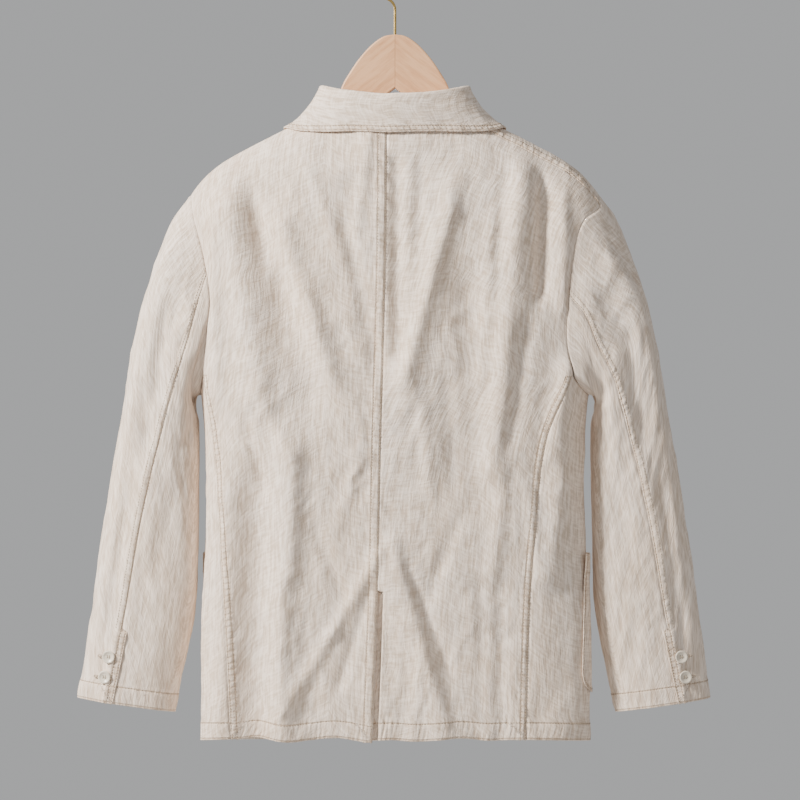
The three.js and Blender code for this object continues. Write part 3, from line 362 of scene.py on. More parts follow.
def shell(name, points, normals, seams, uv_shift, mask=None, from_last=False):
    """A closed thin shell of linen: the outer grid, the same grid moved in, and its rim.
    What mark_seams gives is stored on it for the finish to read."""
    rows, cols = points.shape[:2]
    mask = np.ones((rows, cols), bool) if mask is None else mask
    index = np.full((rows, cols), -1)
    index[mask] = np.arange(mask.sum())
    outer = points[mask]
    inner = outer - normals[mask] * WALL
    across, down = arc_map(points, from_last)
    uv = np.stack([across[mask] + uv_shift[0], down[mask] + uv_shift[1]], -1)
    quads = np.stack([index[:-1, :-1], index[:-1, 1:], index[1:, 1:], index[1:, :-1]], -1)
    quads = quads.reshape(-1, 4)
    quads = quads[(quads >= 0).all(1)]
    q = quads[: max(1, len(quads) // 3)]
    facing = np.cross(outer[q[:, 1]] - outer[q[:, 0]], outer[q[:, 3]] - outer[q[:, 0]])
    if np.sum(facing * normals[mask][q[:, 0]]) < 0:
        quads = quads[:, ::-1]
    count = len(outer)
    edges = np.concatenate([quads[:, [i, (i + 1) % 4]] for i in range(4)])
    key = edges[:, 0] * count + edges[:, 1]
    other = edges[:, 1] * count + edges[:, 0]
    rim = edges[~np.isin(key, other)]
    middle = (outer + inner) / 2
    ends = np.unique(rim)
    place = np.full(count, -1)
    place[ends] = 2 * count + np.arange(len(ends))
    # the rim's middle line stands out a little, so the edge is round
    push = np.zeros((count, 3))
    for a, b in ((0, 1), (1, 0)):
        out = np.cross(outer[rim[:, 1]] - outer[rim[:, 0]], normals[mask][rim[:, 0]])
        out /= np.maximum(np.linalg.norm(out, axis=1, keepdims=True), 1e-9)
        np.add.at(push, rim[:, a], out * 0.5)
    bulge = middle[ends] + push[ends] * 0.3
    a, b = rim[:, 0], rim[:, 1]
    sides = np.concatenate([
        np.stack([b, a, place[a], place[b]], -1),
        np.stack([place[b], place[a], a + count, b + count], -1),
    ])
    faces = np.concatenate([quads, quads[:, ::-1] + count, sides])
    verts = np.concatenate([outer, inner, bulge])
    obj = new_object(name, verts, faces.tolist(), np.concatenate([uv, uv, uv[ends]]), linen())
    for label, values in zip(SEAM_MARKS, seams):
        flat = np.broadcast_to(values, (rows, cols))[mask]
        inside = np.full(count, NO_SEAM) if label == "seam_distance" else flat
        layer = obj.data.attributes.new(label, "FLOAT", "POINT")
        layer.data.foreach_set("value", np.concatenate([flat, inside, flat[ends]]).astype(np.float32))
    CLOTH[name] = {"p": points, "n": normals, "mask": mask}
    return obj


# ---- halves of the blazer ----
class Half:
    """One side of the blazer; distances are mirrored so the own side is positive."""

    def __init__(self, side):
        self.side = side
        self.left = side > 0
        self.word = "left" if self.left else "right"
        self.drop = 0 if self.left else RIGHT_SHOULDER_SEAM_DROP
        self.reach = CENTRE_FRONT * side - FRONT_OVERLAP
        self.front_seam_k = 6 / 9 if self.left else 4 / 9

    def centre_back(self, z):
        return self.side * through(CENTRE_BACK, z)

    def back_edge(self, z):
        hole = through(ARMHOLE_BACK_LEFT if self.left else ARMHOLE_BACK_RIGHT, z)
        seam = through(SIDE_SEAM_LEFT if self.left else SIDE_SEAM_RIGHT, z)
        return np.where(z >= UNDERARM_Z, hole, seam)

    def front_edge(self, z):
        low = through(ARMHOLE_FRONT, UNDERARM_Z) - 8 * ease((UNDERARM_Z - z) / 120)
        return np.where(z >= UNDERARM_Z, through(ARMHOLE_FRONT, z), low)

    def front_middle(self, z):
        k = np.clip((z - BREAK_Z) / (NECK_Z - BREAK_Z), 0, 1)
        return mix(self.reach, NECK_X, k)

    def mirrored(self, points):
        return points * np.array([self.side, 1.0, 1.0])


LEFT, RIGHT = Half(1), Half(-1)
HALVES = (LEFT, RIGHT)


def back_base(h, s, k):
    """The back: s from the centre seam (0) to the side (1), k down to the underarm (1)
    and on to the hem (2)."""
    centre = h.centre_back(-170.0)
    x_top = mix(centre, TIP_X, s)
    line = shoulder_line(x_top)
    neck = mix(BACK_NECK_Z, shoulder_line(NECK_X) - h.drop, (np.abs(x_top) / NECK_X) ** 2)
    top = np.where(x_top >= NECK_X, line - h.drop, neck)
    first = np.sqrt(h.drop / (line - UNDERARM_Z))
    over = mix(line, UNDERARM_Z, mix(first, 1, np.minimum(k, 1)) ** 2)
    plain = mix(top, UNDERARM_Z, np.minimum(k, 1) ** (2 if h.left else 1.7))
    z = np.where(x_top >= NECK_X, over, plain)
    z = np.where(k > 1, mix(UNDERARM_Z, BACK_HEM_Z, k - 1), z)
    edge = mix(h.centre_back(z), h.back_edge(z), s)
    rate = np.where(s > 0.995, 6, 2 + 4 * ease((s - 0.9) / 0.1))
    x = mix(x_top, edge, np.where(k > 1, 1, ease(k * rate)))
    return h.mirrored(on_face(x, z, 1)), x, z


def front_base(h, s, k):
    """The front: s from the middle edge (0) to the armhole (1) and round the side (2);
    k below zero passes behind the shoulder ridge."""
    s_in = np.minimum(s, 1)
    x_top = mix(NECK_X, TIP_X, s_in)
    deep = np.sqrt(shoulder_line(x_top) - UNDERARM_Z)
    step = np.where(k < 0, -k * math.sqrt(max(h.drop, 1e-6)), -np.clip(k, 0, 1) * deep)
    z = shoulder_line(x_top) - step ** 2
    z = np.where(k > 1, mix(UNDERARM_Z, FRONT_HEM_Z, k - 1), z)
    inner = np.where(k > 1, h.reach, h.front_middle(z))
    x = mix(inner, h.front_edge(z), s_in)
    rate = 3 + 3 * ease((s_in - 0.9) / 0.1)
    blend_x = mix(1, ease(np.clip(k, 0, 1) * rate), ease(s_in / 0.11))
    x = np.where(k > 1, x, np.where(k < 0, x_top, mix(x_top, x, blend_x)))
    face = np.where(k < 0, 1, -1)
    flat = on_face(x, z, 1) * np.stack([np.ones_like(face), face, np.ones_like(face)], -1)
    # round the side
    r = np.clip(s - 1, 0, 1)
    z_side = UNDERARM_Z - UNDERARM_DIP * np.sin(np.pi * r) ** 0.8
    z_side = mix(z_side, mix(FRONT_HEM_Z, BACK_HEM_Z, r), np.clip(k - 1, 0, 1))
    turn = mix(turn_of(h.front_edge(z_side), z_side, -1), turn_of(h.back_edge(z_side), z_side, 1), r)
    side = on_ring(turn, z_side)
    points = np.where((s > 1)[..., None], side, flat)
    return h.mirrored(points)


# ---- even rows and seam distances ----
def run_along(line):
    """Distance along a line of points, from its first one."""
    return np.concatenate([[0], np.cumsum(np.linalg.norm(np.diff(line, axis=0), axis=1))])


def length_of(line):
    """How long a line of points is."""
    return np.sum(np.linalg.norm(np.diff(line, axis=0), axis=1))


def even_places(line, places, count):
    """The places, picked so that the line's points are evenly spaced."""
    run = run_along(line)
    return np.interp(np.linspace(0, run[-1], count), run, places)


def seam_distances(points):
    """Distance along the cloth from its first and last column and first and last row."""
    row = np.linalg.norm(np.diff(points, axis=1), axis=-1)
    first = np.concatenate([np.zeros((len(points), 1)), np.cumsum(row, 1)], 1)
    col = np.linalg.norm(np.diff(points, axis=0), axis=-1)
    top = np.concatenate([np.zeros((1, points.shape[1])), np.cumsum(col, 0)], 0)
    return first, first[:, -1:] - first, top, top[-1:] - top


def mark_seams(shape, *seams):
    """For each point the nearest seam's distance, width and place along it, in mm.
    A seam is its distances, its places along, its width and where it applies."""
    near = np.full(shape, NO_SEAM)
    place = np.zeros(shape)
    wide = np.zeros(shape)
    for distance, along, width, applies in seams:
        distance = np.where(applies, distance, NO_SEAM)
        closer = (distance > -1.0) & (distance < near)
        near = np.where(closer, distance, near)
        place = np.where(closer, along, place)
        wide = np.where(closer, width, wide)
    return near, place, wide


def felled(d, along, width, seed, strength=1.0):
    """A felled seam: a thicker strip, two stitched grooves and the pucker round them.
    The piece with the strip has d above zero, its neighbour has d below zero."""
    strip = 1.1 * (1 - ease((d - width + 0.6) / 1.6)) * ease(d / 1.2)
    grooves = 0
    for at in (1.6, width - 1.4):
        grooves = grooves - 0.7 * np.exp(-((d - at) / 1.0) ** 2) * (d > 0)
    shaky = along + 3.2 * hashed_noise(along / 16, d / 40 + 9, seed + 3)
    size = 0.65 + 0.6 * hashed_noise(along / 23, d / 60 + 5, seed + 4)
    rungs = size * np.sin(2 * np.pi * (shaky / 6.8 + 0.09 * d))
    reach = np.exp(-((d - width * 0.5) / (width * 0.42)) ** 4)
    wide = hashed_noise(along / 12 + 0.1 * d, d / 20 + 40, seed + 7)
    far = np.exp(-(d / 30) ** 2)
    return strip + grooves + strength * (0.62 * rungs * reach + 0.9 * wide * far)


def topstitched(d, along, width, seed, strength=1.0):
    """A turned edge with one row of stitches: thicker, grooved and a little puckered."""
    strip = 0.7 * (1 - ease((d - width + 0.4) / 1.6))
    groove = -0.55 * np.exp(-((d - width + 1.4) / 1.1) ** 2)
    shaky = along + 2.4 * hashed_noise(along / 14, d / 40 + 9, seed + 3)
    size = 0.6 + 0.7 * hashed_noise(along / 21, d / 60 + 5, seed + 4)
    rungs = size * np.sin(2 * np.pi * (shaky / 5.4 + 0.03 * d))
    reach = np.exp(-((d - width * 0.6) / (width * 0.55 + 2)) ** 4)
    wide = hashed_noise(along / 17, d / 22 + 3, seed + 5) * np.exp(-(d / (width + 14)) ** 2)
    return strip + groove + strength * (0.5 * rungs * reach + 0.8 * wide)


def settings():
    """The scene's own values, which its panel shows."""
    return bpy.context.scene.blazer


# ---- finishes ----
def node(tree, kind, place, **inputs):
    """A new node of a kind, at a place."""
    made = tree.nodes.new(kind)
    made.location = place
    for key, value in inputs.items():
        if hasattr(made, key):
            setattr(made, key, value)
        else:
            made.inputs[key.replace("_", " ")].default_value = value
    return made


def finish_named(name):
    """A new empty material."""
    made = bpy.data.materials.new(name)
    made.use_nodes = True
    made.node_tree.nodes.clear()
    return made


class Wire:
    """A socket that sums are written with: each sum becomes a math node."""

    def __init__(self, tree, socket):
        self.tree, self.socket = tree, socket

    def run(self, kind, other=0.0, swapped=False):
        count = len(self.tree.nodes)
        made = node(self.tree, "ShaderNodeMath", (-2700 + 160 * (count % 12), -220 * (count // 12)))
        made.operation = kind
        for slot, value in zip(made.inputs, (other, self) if swapped else (self, other)):
            if isinstance(value, Wire):
                self.tree.links.new(value.socket, slot)
            else:
                slot.default_value = value
        return Wire(self.tree, made.outputs[0])

    def __add__(self, other):
        return self.run("ADD", other)

    def __sub__(self, other):
        return self.run("SUBTRACT", other)

    def __mul__(self, other):
        return self.run("MULTIPLY", other)

    def __truediv__(self, other):
        return self.run("DIVIDE", other)

    def __rtruediv__(self, other):
        return self.run("DIVIDE", other, swapped=True)


def seam_painted_shade(tree):
    """How much painted shade a point gets: how deep it lies in a seam's stitched groove or in the pucker
    beside it.
    """
    def read(label, row):
        got = node(tree, "ShaderNodeAttribute", (-2900, -200 * row))
        got.attribute_name = label
        return Wire(tree, got.outputs["Fac"])

    def bell(value, centre, half):
        off = (value - centre) / half
        return (off * off * -1.0).run("EXPONENT")

    distance, place, width = (read(label, row) for row, label in enumerate(SEAM_MARKS))
    # painted shade along the two stitched grooves
    grooves = (bell(distance, GROOVE_INSET, GROOVE_HALF)
               + bell(distance, width - GROOVE_INSET, GROOVE_HALF))
    # painted shade in bands across the puckers beside the seam
    wave = (place * (2 * math.pi / RUNG_STEP) + distance * RUNG_LEAN).run("SINE").run("MAXIMUM")
    half = width * 0.5
    # narrow strips pucker most, and a wide hem hardly at all, and the painted pucker shade follows this
    strength = (6.0 / width.run("MAXIMUM", 1.0)).run("MINIMUM", 0.75)
    rungs = wave * bell(distance, half, half + 1.5) * strength
    return (grooves + rungs).run("MINIMUM", 1.0)


def ramp_of(tree, source, low, high, place):
    """A colour ramp between two stops, each a position and a colour."""
    ramp = node(tree, "ShaderNodeValToRGB", place)
    for stop, (position, colour) in zip(ramp.color_ramp.elements, (low, high)):
        stop.position = position
        stop.color = (*colour, 1)
    tree.links.new(source, ramp.inputs[0])
    return ramp.outputs[0]


def bump_of(tree, height, strength, distance, place):
    """A bump node for a height."""
    bump = node(tree, "ShaderNodeBump", place)
    bump.inputs["Strength"].default_value = strength
    bump.inputs["Distance"].default_value = distance
    tree.links.new(height, bump.inputs["Height"])
    return bump.outputs[0]


def finish_tree(tree, colour, normal, values, place):
    """The shader and the output that every finish ends with."""
    shade = node(tree, "ShaderNodeBsdfPrincipled", place)
    for label, value in values.items():
        shade.inputs[label].default_value = value
    tree.links.new(colour, shade.inputs["Base Color"])
    tree.links.new(normal, shade.inputs["Normal"])
    out = node(tree, "ShaderNodeOutputMaterial", (place[0] + 300, place[1]))
    tree.links.new(shade.outputs[0], out.inputs[0])


def linen():
    """Washed linen: uneven threads both ways, slubs, soft warm colour change, and painted shade in the
    seams' grooves and puckers.
    """
    found = bpy.data.materials.get("washed linen")
    if found:
        return found
    made = finish_named("washed linen")
    tree = made.node_tree
    link = tree.links.new
    uv = node(tree, "ShaderNodeUVMap", (-1700, 0))
    uv.uv_map = "cloth"

    def streaks(across, down, detail, row):
        """Noise drawn out along the cloth, in cells to a metre across and down."""
        turn = node(tree, "ShaderNodeMapping", (-1420, -200 * row))
        turn.inputs["Scale"].default_value = (across, down, 1)
        link(uv.outputs[0], turn.inputs["Vector"])
        noise = node(tree, "ShaderNodeTexNoise", (-1200, -200 * row))
        noise.inputs["Scale"].default_value = 1
        noise.inputs["Detail"].default_value = detail
        noise.inputs["Roughness"].default_value = 0.6
        link(turn.outputs[0], noise.inputs["Vector"])
        return Wire(tree, noise.outputs["Fac"])

    warp, weft = streaks(1000, 90, 2, 0), streaks(100, 900, 2, 1)
    slub, long_slub, cross_slub = streaks(330, 42, 3, 2), streaks(190, 11, 2, 3), streaks(46, 300, 3, 4)
    cloud = streaks(9, 7, 3, 5)
    tone = warp * 0.16 + weft * 0.12 + slub * 0.36 + long_slub * 0.14 + cross_slub * 0.22
    got = settings()
    threads = ramp_of(tree, tone.socket, (0.44, got.linen_dark), (0.56, got.linen_colour), (-300, 200))
    warm = node(tree, "ShaderNodeMix", (0, 200))
    warm.data_type = "RGBA"
    warm.blend_type = "MULTIPLY"
    link(threads, warm.inputs["A"])
    tint = ramp_of(tree, cloud.socket, (0.35, (1, 0.968, 0.93)), (0.65, (1, 1, 1)), (-300, -400))
    link(tint, warm.inputs["B"])
    warm.inputs["Factor"].default_value = 1
    painted_seam_shade = seam_painted_shade(tree)
    # painted shade: the cloth's colour is made darker in the seams' grooves and pucker bands
    darker = node(tree, "ShaderNodeMix", (200, 300))
    darker.data_type = "RGBA"
    darker.blend_type = "MULTIPLY"
    link(painted_seam_shade.socket, darker.inputs["Factor"])
    link(warm.outputs["Result"], darker.inputs["A"])
    darker.inputs["B"].default_value = (*SEAM_PAINTED_SHADE, 1)
    height = (tone - painted_seam_shade * SEAM_RELIEF).socket
    finish_tree(tree, darker.outputs["Result"], bump_of(tree, height, 0.9, 0.0022, (0, -500)),
                {"Roughness": 0.92, "Specular IOR Level": 0.18, "Sheen Weight": 0.12,
                 "Sheen Roughness": 0.6}, (300, 0))
    return made


def plain_noise_finish(name, low, high, scale, roughness, bump_strength, metallic=0.0,
                       stretch=(1, 1, 1)):
    """A finish whose colour moves between two with soft noise."""
    found = bpy.data.materials.get(name)
    if found:
        return found
    made = finish_named(name)
    tree = made.node_tree
    link = tree.links.new
    place = node(tree, "ShaderNodeTexCoord", (-900, 0))
    turn = node(tree, "ShaderNodeMapping", (-700, 0))
    turn.inputs["Scale"].default_value = stretch
    link(place.outputs["Object"], turn.inputs["Vector"])
    noise = node(tree, "ShaderNodeTexNoise", (-500, 0))
    noise.inputs["Scale"].default_value = scale
    noise.inputs["Detail"].default_value = 4
    link(turn.outputs[0], noise.inputs["Vector"])
    colour = ramp_of(tree, noise.outputs["Fac"], (0.35, low), (0.65, high), (-300, 0))
    normal = bump_of(tree, noise.outputs["Fac"], bump_strength, 0.0003, (-100, -300))
    finish_tree(tree, colour, normal, {"Roughness": roughness, "Metallic": metallic}, (200, 0))
    return made


def thread():
    c = settings().thread_colour
    return plain_noise_finish("sewing thread", tuple(0.88 * v for v in c), tuple(c), 900, 0.75, 0.2)


def button_finish():
    c = settings().button_colour
    return plain_noise_finish("cream button", tuple(0.8 * v for v in c), tuple(c), 160, 0.32, 0.05)


def wood():
    """Pale wood: each arm's grain runs along it and the two meet in a mitre."""
    found = bpy.data.materials.get("pale wood")
    if found:
        return found
    made = finish_named("pale wood")
    tree = made.node_tree
    link = tree.links.new
    place = node(tree, "ShaderNodeTexCoord", (-1500, 0))
    parts = node(tree, "ShaderNodeSeparateXYZ", (-1300, 0))
    link(place.outputs["Object"], parts.inputs[0])
    x, y, z = (Wire(tree, socket) for socket in parts.outputs)
    aside = x.run("ABSOLUTE")
    # the arms fall at about 40 degrees near the neck, and each has its own grain
    across = aside * 0.62 + z * 0.78 + x.run("SIGN") * 0.31
    along = aside * 0.78 - z * 0.62
    joined = node(tree, "ShaderNodeCombineXYZ", (-500, 100))
    for slot, wire in zip(joined.inputs, (across, along * 0.09, y * 0.5)):
        link(wire.socket, slot)

    def grain_noise(scale, detail, row):
        noise = node(tree, "ShaderNodeTexNoise", (-300, 200 - 300 * row))
        noise.inputs["Scale"].default_value = scale
        noise.inputs["Detail"].default_value = detail
        link(joined.outputs[0], noise.inputs["Vector"])
        return Wire(tree, noise.outputs["Fac"])

    both = (grain_noise(190, 3, 0) * 0.7 + grain_noise(1400, 2, 1) * 0.3).socket
    c = settings().wood_colour
    late = (c[0] * 0.76, c[1] * 0.66, c[2] * 0.58)
    grain = ramp_of(tree, both, (0.34, late), (0.6, c), (200, 150))
    # the glue line where the two arms meet
    line = aside.run("LESS_THAN", 0.00035) * 0.8
    joint = node(tree, "ShaderNodeMix", (450, 200))
    joint.data_type = "RGBA"
    joint.inputs["B"].default_value = (c[0] * 0.5, c[1] * 0.4, c[2] * 0.32, 1)
    link(line.socket, joint.inputs["Factor"])
    link(grain, joint.inputs["A"])
    finish_tree(tree, joint.outputs["Result"], bump_of(tree, both, 0.12, 0.0003, (450, -200)),
                {"Roughness": 0.48, "Coat Weight": 0.12, "Coat Roughness": 0.35}, (700, 0))
    return made


def brass():
    return plain_noise_finish("brass wire", (0.55, 0.36, 0.11), (0.72, 0.5, 0.18), 300, 0.22, 0.03, 1.0)


# ---- cloth pieces ----
def own_sheet(obj, part):
    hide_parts(part)
    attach(obj, "root")
    return obj


def back_rows(h, cell):
    """The back's mesh rows."""
    ks = np.linspace(0, 2, 1600)
    line, _, _ = back_base(h, np.full_like(ks, 0.45), ks)
    return even_places(line, ks, int(length_of(line) / cell))


def build_back(h):
    """One half of the back, down to its vent and hem."""
    cell = settings().cell / MM
    rows = back_rows(h, cell)
    columns = np.linspace(0, 1, int(235 / cell))
    s, k = np.meshgrid(columns, rows)
    base, _, z = back_base(h, s, k)
    mask = np.ones(z.shape, bool)
    if not h.left:
        base, z, mask = add_underlap(base, s, z)
    first, last, _, bottom = seam_distances(base)
    lift = body_folds(base)
    side_fade = np.where(z > UNDERARM_Z, ease((last - 1) / 9), ease((last - 1) / 14))
    lift += settings().crumple * crumple(base[..., 0] + 400, z, 11) * side_fade
    lift *= ease((shoulder_line(base[..., 0]) - z + 2) / 10)
    down = -z
    if h.left:
        lift += felled(first, down, CENTRE_STRIP, 101, 1.0)
        vent = ease((VENT_TOP_Z - z) / 60)
        free = np.exp(-(first / 16) ** 2) * vent
        lift += free * (1.2 + 0.9 * hashed_noise(down / 26, first / 30, 77))
        lift += felled(last, down, SIDE_STRIP, 131, 0.8) * ease((UNDERARM_Z - z) / 12)
    else:
        step = base[..., 0] - LEFT.centre_back(z)
        beside = np.where(z < VENT_TOP_Z, -6 - step, -step)
        lift += felled(-np.maximum(beside, 0), down, CENTRE_STRIP, 101, 1.0)
        lift += felled(last, down, SIDE_STRIP, 151, 0.8) * ease((UNDERARM_Z - z) / 12)
        lift = np.where(step > -6.5, np.where(z < VENT_TOP_Z, -VENT_DEPTH - 1.0, lift), lift)
    hem = topstitched(bottom, base[..., 0], HEM_WIDTH, 171 + h.side)
    lift += hem
    points, normals = drape(base, outward_of(base), lift, mask)
    wave = HEM_WAVE * hashed_noise(base[..., 0] / 48, base[..., 0] * 0 + 3, 881 + h.side)
    points[..., 2] += wave * (1 - ease(bottom / 80)) * ease(last / 45)
    name = f"blazer_back_{h.word}"
    marks = mark_seams(z.shape, (bottom, base[..., 0], HEM_WIDTH, True),
                       (last, down, SIDE_STRIP, z < UNDERARM_Z),
                       (first, down, CENTRE_STRIP, h.left))
    obj = shell(name, points, normals, marks, (40, 10), mask, from_last=not h.left)
    return own_sheet(obj, f"back_{h.word}")


def add_underlap(base, s, z):
    """Below the vent's top the right back runs on beneath the left one."""
    count = 14
    low = z[:, 0] < VENT_TOP_Z
    edge = LEFT.centre_back(z[:, 0])[:, None]
    lap = np.linspace(VENT_LAP, 1, count)[None, :]
    past = np.where(low[:, None], -7 + lap, 0.02 * lap)
    levels = np.repeat(z[:, :1], count, 1)
    extra = on_face(edge + past, levels, 1)
    move = 7 * np.clip(1 - s / 0.12, 0, 1) * ease((VENT_TOP_Z - z) / 6)
    shifted = on_face(base[..., 0] - move, z, 1)
    shifted = np.where((z < VENT_TOP_Z)[..., None], shifted, base)
    mask = np.concatenate([np.repeat(low[:, None], count, 1), np.ones(z.shape, bool)], 1)
    return np.concatenate([extra, shifted], 1), np.concatenate([levels, z], 1), mask


def seam_to_hole(points_s, first):
    """Distance along the cloth from the armhole's column."""
    at_hole = np.argmin(np.abs(points_s[0] - 1))
    return first - first[:, at_hole:at_hole + 1]


def front_rows(h, cell):
    """A front's mesh rows."""
    ks = np.linspace(-1 if h.drop else 0, 2, 2400)
    line = front_base(h, np.full_like(ks, 0.5), ks)
    rows = even_places(line, ks, int(length_of(line) / cell))
    rows[np.argmin(np.abs(rows - 1))] = 1.0
    return rows


def front_columns(h, cell):
    """A front's mesh columns."""
    ss = np.linspace(0, 2, 1200)
    line = front_base(h, ss, np.full_like(ss, 1.5))
    columns = even_places(line, ss, int(length_of(line) / cell))
    columns[np.argmin(np.abs(columns - 1))] = 1.0
    return columns


def tuck(h, points, normals):
    """Below the break the right front lies under the left one."""
    if h.left:
        return points
    own = -points[..., 0]
    below = ease((BREAK_Z + 130 - points[..., 2]) / 40)
    near = 1 - ease((own - h.reach - 40) / 45)
    deep = np.where(points[..., 1] < 0, 2.6 * near * below, 0)
    return points - normals * deep[..., None]


def build_front(h):
    """One front, from its edge to the side seam."""
    cell = settings().cell / MM * 1.35
    rows, columns = front_rows(h, cell), front_columns(h, cell)
    s, k = np.meshgrid(columns, rows)
    base = front_base(h, s, k)
    mask = ~((s > 1) & (k < 1))
    z = base[..., 2]
    first, last, top, bottom = seam_distances(base)
    run = first + 20
    lift = body_folds(base)
    own_edge = np.where(s > 1, last, 1e3)
    hole = np.where((k <= 1) & (s <= 1), np.abs(seam_to_hole(points_s=s, first=first)), 1e3)
    calm = ease((np.minimum(own_edge, hole) - 1) / 12)
    lift += settings().crumple * crumple(run, z, 51 if h.left else 71) * calm
    lift *= ease((shoulder_line(base[..., 0]) - z + 2) / 10)
    lift += topstitched(bottom, run, HEM_WIDTH, 181 + h.side)
    lift += topstitched(first, -z, EDGE_STRIP, 191 + h.side, 0.7) * ease((BREAK_Z - z + 8) / 10)
    if h.drop:
        lift += felled(top, base[..., 0], SHOULDER_STRIP, 201, 0.8) * ease((k < 0.2) * 1.0)
    seam = felled(-last, -z, SIDE_STRIP, 131 if h.left else 151, 0.8) * ease((UNDERARM_Z - z) / 12)
    lift += np.where(s > 1, seam, 0)
    points, normals = drape(base, outward_of(base), lift, mask)
    points = tuck(h, points, normals)
    marks = mark_seams(z.shape, (bottom, run, HEM_WIDTH, True), (first, -z, EDGE_STRIP, z < BREAK_Z),
                       (top, base[..., 0], SHOULDER_STRIP, bool(h.drop) & (k < 0.2)))
    obj = shell(f"blazer_front_{h.word}", points, normals, marks, (700, 10), mask)
    return own_sheet(obj, f"front_{h.word}")


# ---- sleeves ----
def armhole(h):
    """The armhole as one loop of points, with the places of the two sleeve seams."""
    ks = np.linspace(0, 1, 160)
    back, _, _ = back_base(h, np.full_like(ks, 1.0), ks)
    ss = np.linspace(2, 1, 40)[1:]
    under = front_base(h, ss, np.full_like(ss, 1.0))
    fs = np.linspace(1, -1 if h.drop else 0, 200)[1:]
    front = front_base(h, np.full_like(fs, 1.0), fs)
    loop = np.concatenate([back, under, front])
    n = outward_of(loop)
    flat = n * np.array([1, 1, 0])
    flat /= np.linalg.norm(flat, axis=-1, keepdims=True)
    loop = loop + flat * body_folds(loop[None])[0][:, None]
    run = run_along(loop)
    elbow = np.interp(6 / 9, ks, run[:160])
    tail = run[160 + 39:]
    front_seam = np.interp(-h.front_seam_k, -fs, tail)
    return loop, run, elbow, front_seam


def sleeve_ring(angle, t):
    ox, oz = through(SLEEVE_OUTER, t, 1), through(SLEEVE_OUTER, t, 2)
    ix, iz = through(SLEEVE_INNER, t, 1), through(SLEEVE_INNER, t, 2)
    c, s = np.cos(np.radians(angle)), np.sin(np.radians(angle))
    wide, deep = np.sign(c) * np.abs(c) ** 0.9, np.sign(s) * np.abs(s) ** 0.9
    return np.stack([(ox + ix) / 2 + wide * (ox - ix) / 2,
                     deep * through(SLEEVE_HALF_DEPTH, t) - through(SLEEVE_FORWARD, t),
                     (oz + iz) / 2 + wide * (oz - iz) / 2], -1)


def ring_middle(t):
    """The middle of a sleeve at a share of its length."""
    return sleeve_ring(np.zeros_like(t), t) * 0.5 + sleeve_ring(np.full_like(t, 180), t) * 0.5


def sleeve_fold(angle, t):
    total = np.zeros(np.broadcast(angle, t).shape)
    for a0, t0, a1, t1, width, height in SLEEVE_FOLDS:
        k = np.clip((t - t0) / (t1 - t0), 0, 1)
        fade = ease((t - t0) / 0.12 + 0.5) * ease((t1 - t) / 0.12 + 0.5)
        gap = (angle - mix(a0, a1, k) + 180) % 360 - 180
        total = total + height * fade * np.exp(-(gap / width) ** 2)
    return total


def sleeve_surface(h, runs, ts):
    """Sleeve points for places along the armhole and shares down the sleeve."""
    loop, run, elbow_run, front_run = armhole(h)
    low = run[np.argmin(loop[:, 2])]

    def angle_of(r):
        return np.where(r <= low, 180 * r / low, 180 + 180 * (r - low) / (run[-1] - low))

    places, t = np.meshgrid(runs, ts)
    wrapped = places % run[-1]
    angle = angle_of(wrapped)
    elbow0, front0 = angle_of(elbow_run), angle_of(front_run)
    elbow = through([(0, elbow0), *ELBOW_SEAM], t)
    front = mix(front0, 232, ease(t / 0.5))
    turned = np.where(angle <= elbow0, angle * elbow / elbow0,
                      np.where(angle <= front0, mix(elbow, front, (angle - elbow0) / (front0 - elbow0)),
                               mix(front, 360, (angle - front0) / (360 - front0))))
    start = np.stack([np.interp(wrapped, run, loop[:, i]) for i in range(3)], -1)
    own = h.mirrored(start)
    offset = own - sleeve_ring(angle, np.zeros_like(t))
    fade = (1 - ease(t / 0.36))[..., None]
    under = ease((own[..., 2] + 390) / -50)
    away = UNDERARM_EASE * under * ease(t / 0.07) * (1 - ease((t - 0.1) / 0.35))
    points = sleeve_ring(turned, t) + offset * fade
    points[..., 0] += away
    return points, turned, t


